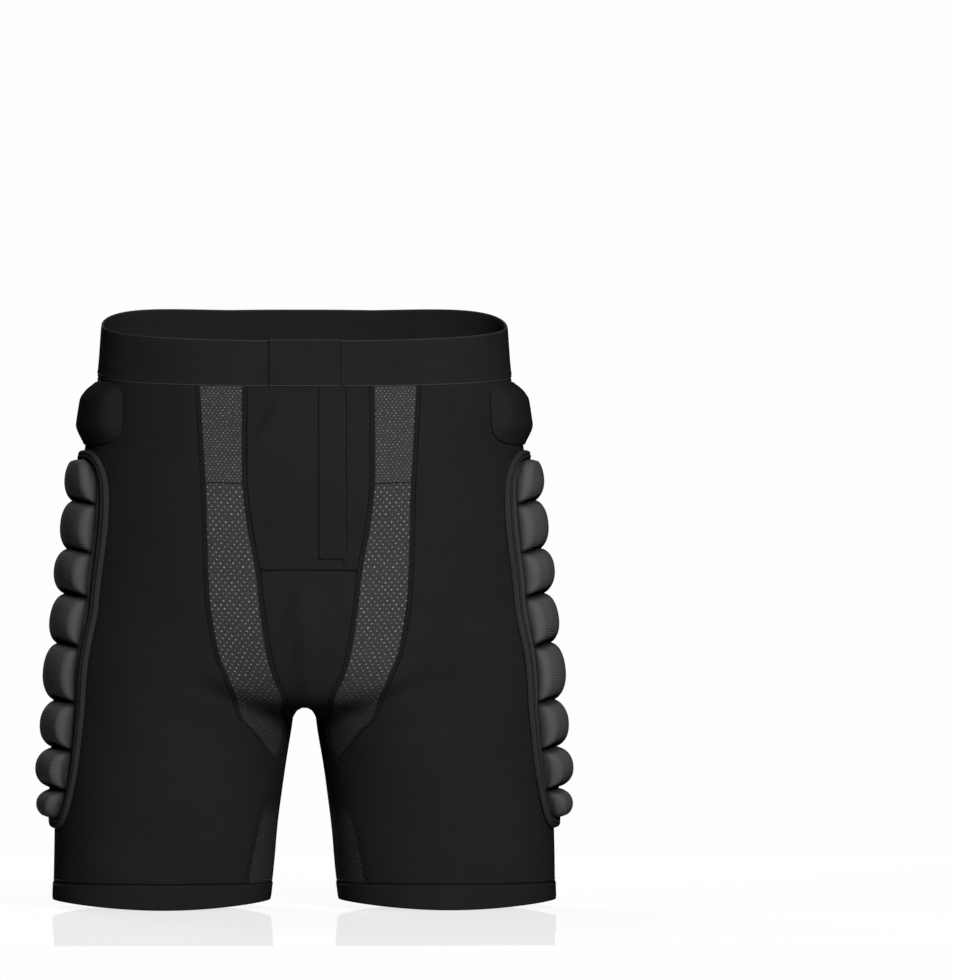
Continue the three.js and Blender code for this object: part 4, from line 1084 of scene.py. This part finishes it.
# out, down
tail_outline = (
    (0, 0), (0.42, 0.001), (0.65, 0.013), (0.82, 0.04), (0.93, 0.09), (0.98, 0.14), (1, 0.21),
    (0.985, 0.29), (0.93, 0.41), (0.82, 0.55), (0.6, 0.71), (0.43, 0.835), (0.3, 0.89), (0.18, 0.955),
    (0.06, 1),
)
tail_lines = {
    "middle": np.array([(0, 0.016), (1, 0.016)]),
    "channel": np.array([
        (0, 0.46), (0.06, 0.49), (0.12, 0.525), (0.2, 0.525), (0.29, 0.5), (0.36, 0.44), (0.47, 0.385),
        (0.63, 0.315), (0.8, 0.25), (0.9, 0.2),
    ]),
}
# from, to, and the levels of its four corners: top and foot, inner and outer
tail_blocks = (
    ("middle", "channel", (0.036, 0.036, 0.195, 0.32)),
    ("middle", "channel", (0.225, 0.36, 0.62, 0.62)),
    ("channel", "rim", (0.036, 0.06, 0.282, 0.282)),
    ("channel", "rim", (0.31, 0.31, 0.468, 0.468)),
    ("channel", "rim", (0.496, 0.496, 0.626, 0.626)),
    ("middle", "channel", (0.655, 0.655, 0.885, 0.88)),
    ("channel", "rim", (0.655, 0.655, 0.875, 0.845)),
)
tail_points = [
    (out * (tail_half - binding_width), tail_top - binding_width - down * (tail_length - 2 * binding_width))
    for out, down in tail_outline
]
tail_points += [(-a, b) for a, b in tail_points[:0:-1]]
tail_edge = smooth_outline(tail_points, 3)
tail_sizes = (tail_lines, tail_edge, tail_top, tail_length, tail_half)
blocks = []
for block in pad_blocks(*tail_sizes, tail_blocks):
    blocks += [block, [(-a, b) for a, b in block]]
blocks += pad_blocks(*tail_sizes, (("rim", "rim", (0.898, 0.898, 0.965, 0.965)),), 4)
tail_height = block_heights(blocks, tail_edge, pad_wall, 10.8, 7, 0.6)
alone = (("", 1),)
moulded("tail_pad", tail_edge, tail_height, on_back, pad_knit, 1.3, alone)
bound("tail_pad_binding", tail_edge, on_back, alone)

# Thigh pads
# A boot-shaped pad behind each thigh, in eight blocks that fan out toward its foot.
thigh_top_level = -168
thigh_length = 231
thigh_outline = (
    (0.835, 0), (0.785, 0.035), (0.745, 0.15), (0.705, 0.26), (0.64, 0.37), (0.555, 0.473), (0.42, 0.61),
    (0.365, 0.76), (0.42, 0.9), (0.6, 0.985), (0.8, 0.98), (0.915, 0.86), (0.93, 0.745), (0.93, 0.61),
    (0.915, 0.455), (0.91, 0.24), (0.88, 0.04),
)
thigh_lines = {
    "leaf": np.array([(0.3, 0.77), (0.41, 0.705), (0.48, 0.665), (0.6, 0.61), (0.72, 0.57), (0.85, 0.515)]),
    "seam": np.array([(0.3, 0.83), (0.41, 0.825), (0.48, 0.81), (0.6, 0.785), (0.72, 0.755), (0.85, 0.715)]),
}
thigh_blocks = (
    ("rim", "rim", (0.085, 0.075, 0.16, 0.225)),
    ("rim", "rim", (0.2, 0.265, 0.32, 0.4)),
    ("leaf", "seam", (0.4, 0.4, 0.68, 0.68)),
    ("seam", "rim", (0.42, 0.455, 0.68, 0.61)),
    ("rim", "leaf", (0.56, 0.55, 0.84, 0.85)),
    ("leaf", "seam", (0.72, 0.72, 0.845, 0.845)),
    ("seam", "rim", (0.71, 0.65, 0.845, 0.815)),
    ("rim", "rim", (0.885, 0.855, 0.945, 0.945)),
)
thigh_middle = 0.66 * half_hip
thigh_squeeze = 1 - binding_width / (0.29 * half_hip)
thigh_edge = smooth_outline([
    (thigh_middle + (out * half_hip - thigh_middle) * thigh_squeeze,
     thigh_top_level - binding_width - down * (thigh_length - 2 * binding_width))
    for out, down in thigh_outline
], 3)
blocks = pad_blocks(thigh_lines, thigh_edge, thigh_top_level, thigh_length, half_hip, thigh_blocks)
thigh_height = block_heights(blocks, thigh_edge, pad_wall, 11.8, 7, 0.7)
moulded("thigh_pad", thigh_edge, thigh_height, on_back, pad_knit, 1.2)
bound("thigh_pad_binding", thigh_edge, on_back)

# Side pads
# A long pad down the outside of each hip and thigh, in eight thick lobes that part like knuckles.
side_top = -109
side_length = 316
side_floor = 2.6
side_half = 48
# down, front and back edge in degrees
side_span = np.array([
    (0, -31, 12),
    (0.08, -35.5, 18),
    (0.2, -38, 21),
    (0.35, -37.5, 18),
    (0.55, -38, 16),
    (0.72, -38.5, 10),
    (0.86, -37, 8),
    (1, -33, 5),
])
# top, foot, how far the lobe stands out
side_lobes = (
    (0.008, 0.123, 14),
    (0.127, 0.253, 13.2),
    (0.256, 0.369, 14.8),
    (0.377, 0.503, 14),
    (0.511, 0.652, 12.4),
    (0.659, 0.781, 16.2),
    (0.788, 0.891, 18),
    (0.899, 0.983, 16.6),
)
lobe_arch = 7
lobe_margin = 6


def on_side(span, half, top, length):
    def place(a, b):
        at = (top - b) / length
        share = (a + half) / (2 * half)
        return around(np.radians(mix(column(span, 1, at), column(span, 2, at), share)), b)
    return place


def rounded_outline(half, high, low, across_power, up_power):
    angle = 2 * np.pi * np.arange(64) / 64
    a = half * np.sign(np.cos(angle)) * np.abs(np.cos(angle)) ** (2 / across_power)
    b = np.sign(np.sin(angle)) * np.abs(np.sin(angle)) ** (2 / up_power)
    return np.stack([a, (high + low) / 2 + (high - low) / 2 * b], 1)


side_line = rounded_outline(
    side_half - binding_width, side_top - binding_width, side_top - side_length + binding_width, 4, 14)
side_past = np.maximum((side_top - side_line[:, 1]) / side_length - 0.75, 0)
side_line[:, 0] *= 1 - 0.22 * side_past / 0.25
side_edge = smooth_outline(side_line, 3)


def lobe_heights(grid):
    """Thick lobes as round as knuckles, standing up from a flat margin inside the binding; painted shade
    falls in the notches between the lobes, on the margin and along the outline.
    """
    a, b = grid[..., 0], grid[..., 1]
    inside = depth_in(grid, side_edge)
    margin = np.minimum(a - a[:, :1], a[:, -1:] - a) - lobe_margin
    wall_rise = np.sqrt(1 - (1 - np.clip(margin / 8, 0, 1)) ** 2) * np.sqrt(np.clip(inside / 3, 0, 1))
    stand = np.full(a.shape, float(side_floor))
    free_of_painted_shade = np.zeros(a.shape)
    arch = lobe_arch * np.abs(a / side_half) ** 1.5
    for top, foot, height in side_lobes:
        high = side_top - top * side_length - (arch if top > 0.02 else 0)
        low = side_top - foot * side_length - (arch if foot < 0.98 else 0)
        half = (high - low) / 2
        depth = np.minimum(high - b, b - low)
        swell = np.sqrt(1 - (1 - np.clip(depth / half, 0, 1)) ** 2.2)
        stand = np.maximum(stand, side_floor + (height - side_floor) * swell * wall_rise)
        free_of_painted_shade = np.maximum(free_of_painted_shade, np.clip(depth / 4, 0, 1))
    # Painted shade on the margin and along the outline, on top of that in the notches.
    free_of_painted_shade = np.where(margin > 0, free_of_painted_shade, 0.55) * (1 - 0.9 * np.exp(-((margin / 0.9) ** 2)))
    return mix(pad_seat + 2.2, stand, np.clip(inside / 0.8, 0, 1)), free_of_painted_shade * np.clip(inside / 1.5, 0.1, 1)


place_side = on_side(side_span, side_half, side_top, side_length)
moulded("side_pad", side_edge, lobe_heights, place_side, pad_knit, 1.2)
bound("side_pad_binding", side_edge, place_side, width=7.5)

# Crest pads
# A smooth shield over each hip bone, just under the waistband, in plain black knit.
crest_top = -49
crest_height = 53
crest_half = 56
crest_span = np.array([
    (0, -37, 19),
    (1, -41, 28),
])
crest_knit = knitted("crest_pad_knit", *shell_shades, 0.0012, 0.001, 0.00012)[0]
crest_edge = smooth_outline(rounded_outline(crest_half, crest_top, crest_top - crest_height, 5, 4), 2.5)


def crest_heights(grid):
    """A cushion that rises gently from a thin edge all round."""
    depth = depth_in(grid, crest_edge)
    t = np.clip(depth / 17, 0, 1)
    stand = 1.9 + 8.9 * (t * t * (3 - 2 * t)) ** 0.7
    return mix(pad_seat + 0.3, stand, np.clip(depth / 1.2, 0, 1)), np.clip(depth / 4, 0.6, 1)


place_crest = on_side(crest_span, crest_half, crest_top, crest_height)
moulded("hip_crest_pad", crest_edge, crest_heights, place_crest, crest_knit, 1.6)

# Stitching
# Black thread: flat seams sewn over each join between the panels, two rows round the hems and along the
# band's lower edge, and one row inside each edge of the placket, which ends in a bar of close stitches.
thread = dyed("black_thread", (0.012, 0.012, 0.013), (0.03, 0.03, 0.032), gloss=0.05, amount=0.5)[0]
bpy.ops.mesh.primitive_uv_sphere_add(segments=6, ring_count=4, radius=0.5)
bead = bpy.context.object
bead_points = np.array([v.co[:] for v in bead.data.vertices])[:, [2, 0, 1]]
bead_faces = sorted(list(p.vertices) for p in bead.data.polygons)
bpy.data.objects.remove(bead)


def along_line(line, lift, offset=0, closed=False, pitch=2.9):
    """Places, directions and outward directions of stitches along a line on the cloth."""
    ring = np.vstack([line, line[:1]]) if closed else line
    steps = np.linalg.norm(np.diff(ring, axis=0), axis=1)
    reached = np.concatenate([[0], np.cumsum(steps)])
    number = int(reached[-1] / pitch)
    place = (np.arange(number) + 0.5) * reached[-1] / number

    def reach(distance):
        return np.stack([np.interp(distance, reached, ring[:, k]) for k in range(3)], 1)

    p = reach(place)
    way = reach(np.minimum(place + 0.5, reached[-1])) - reach(np.maximum(place - 0.5, 0))
    way /= np.linalg.norm(way, axis=1, keepdims=True)
    p = settle(p + np.cross(facing(p), way) * offset)
    out = facing(p)
    return p + out * (lift + folds(p))[:, None], way, out


def stitched(name, lines, signs=(1, -1), size=(2.1, 0.5, 0.5)):
    """One mesh of many stitches, on the left and right of the shorts."""
    points = []
    faces = []
    for place, way, out in lines:
        turns = np.stack([way, np.cross(out, way), out], 1)
        beads = place[:, None] + (bead_points * size) @ turns
        for sign in signs:
            for bead in beads * (sign, 1, 1):
                start = len(points) * len(bead_points)
                faces += [[start + k for k in f[::sign]] for f in bead_faces]
                points.append(bead)
    mesh = bpy.data.meshes.new(name)
    mesh.from_pydata((np.concatenate(points) / 1000).tolist(), [], faces)
    mesh.polygons.foreach_set("use_smooth", [True] * len(mesh.polygons))
    mesh.materials.append(thread)
    piece = bpy.data.objects.new(name, mesh)
    bpy.context.collection.objects.link(piece)
    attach(piece, "root")


def seam_line(seam, steps=10):
    return settle(finer(seam[:, None].repeat(2, 1), steps, 1)[:, 0])


stitched("seam_stitches", [
    along_line(seam_line(line), 0.15, offset)
    for line in (strip_inner, strip_stop, back_seam, thigh_front_seam, thigh_back_seam)
    for offset in (-1.7, 1.7)
])

hem_line = settle(finer(hem_grid[:1].repeat(2, 0), 1, 6, True)[0])
stitched("hem_stitches", [
    along_line(hem_line + (0, 0, above), lift, closed=True)
    for above, lift in ((2, 0.15), (-2.2, 0.85))
])

band_foot = settle(finer(band_grid[-1:].repeat(2, 0), 1, 4, True)[0])
half_band = band_foot[band_foot[:, 0] >= 0]
half_band = half_band[np.argsort(np.arctan2(half_band[:, 1], half_band[:, 0]))]
stitched("band_stitches", [
    along_line(half_band + (0, 0, above), lift)
    for above, lift in ((3.2, 1), (-2.6, 0.15))
])

placket_rise = np.linspace(placket_top - 2, placket_foot + 2, 30)
placket_lines = [along_line(front_at(x, placket_rise), 0.95) for x in (10, 30)]
placket_lines.append(along_line(front_at(np.linspace(10, 29, 12), placket_foot + 2.2), 0.95))
stitched("placket_stitches", placket_lines, (1,))
stitched("bar_tack", [
    along_line(front_at(np.linspace(28.5, 33.5, 4), level), 1, pitch=5)
    for level in np.linspace(placket_foot + 3, placket_foot - 3, 8)
], (1,), (5, 0.7, 0.8))
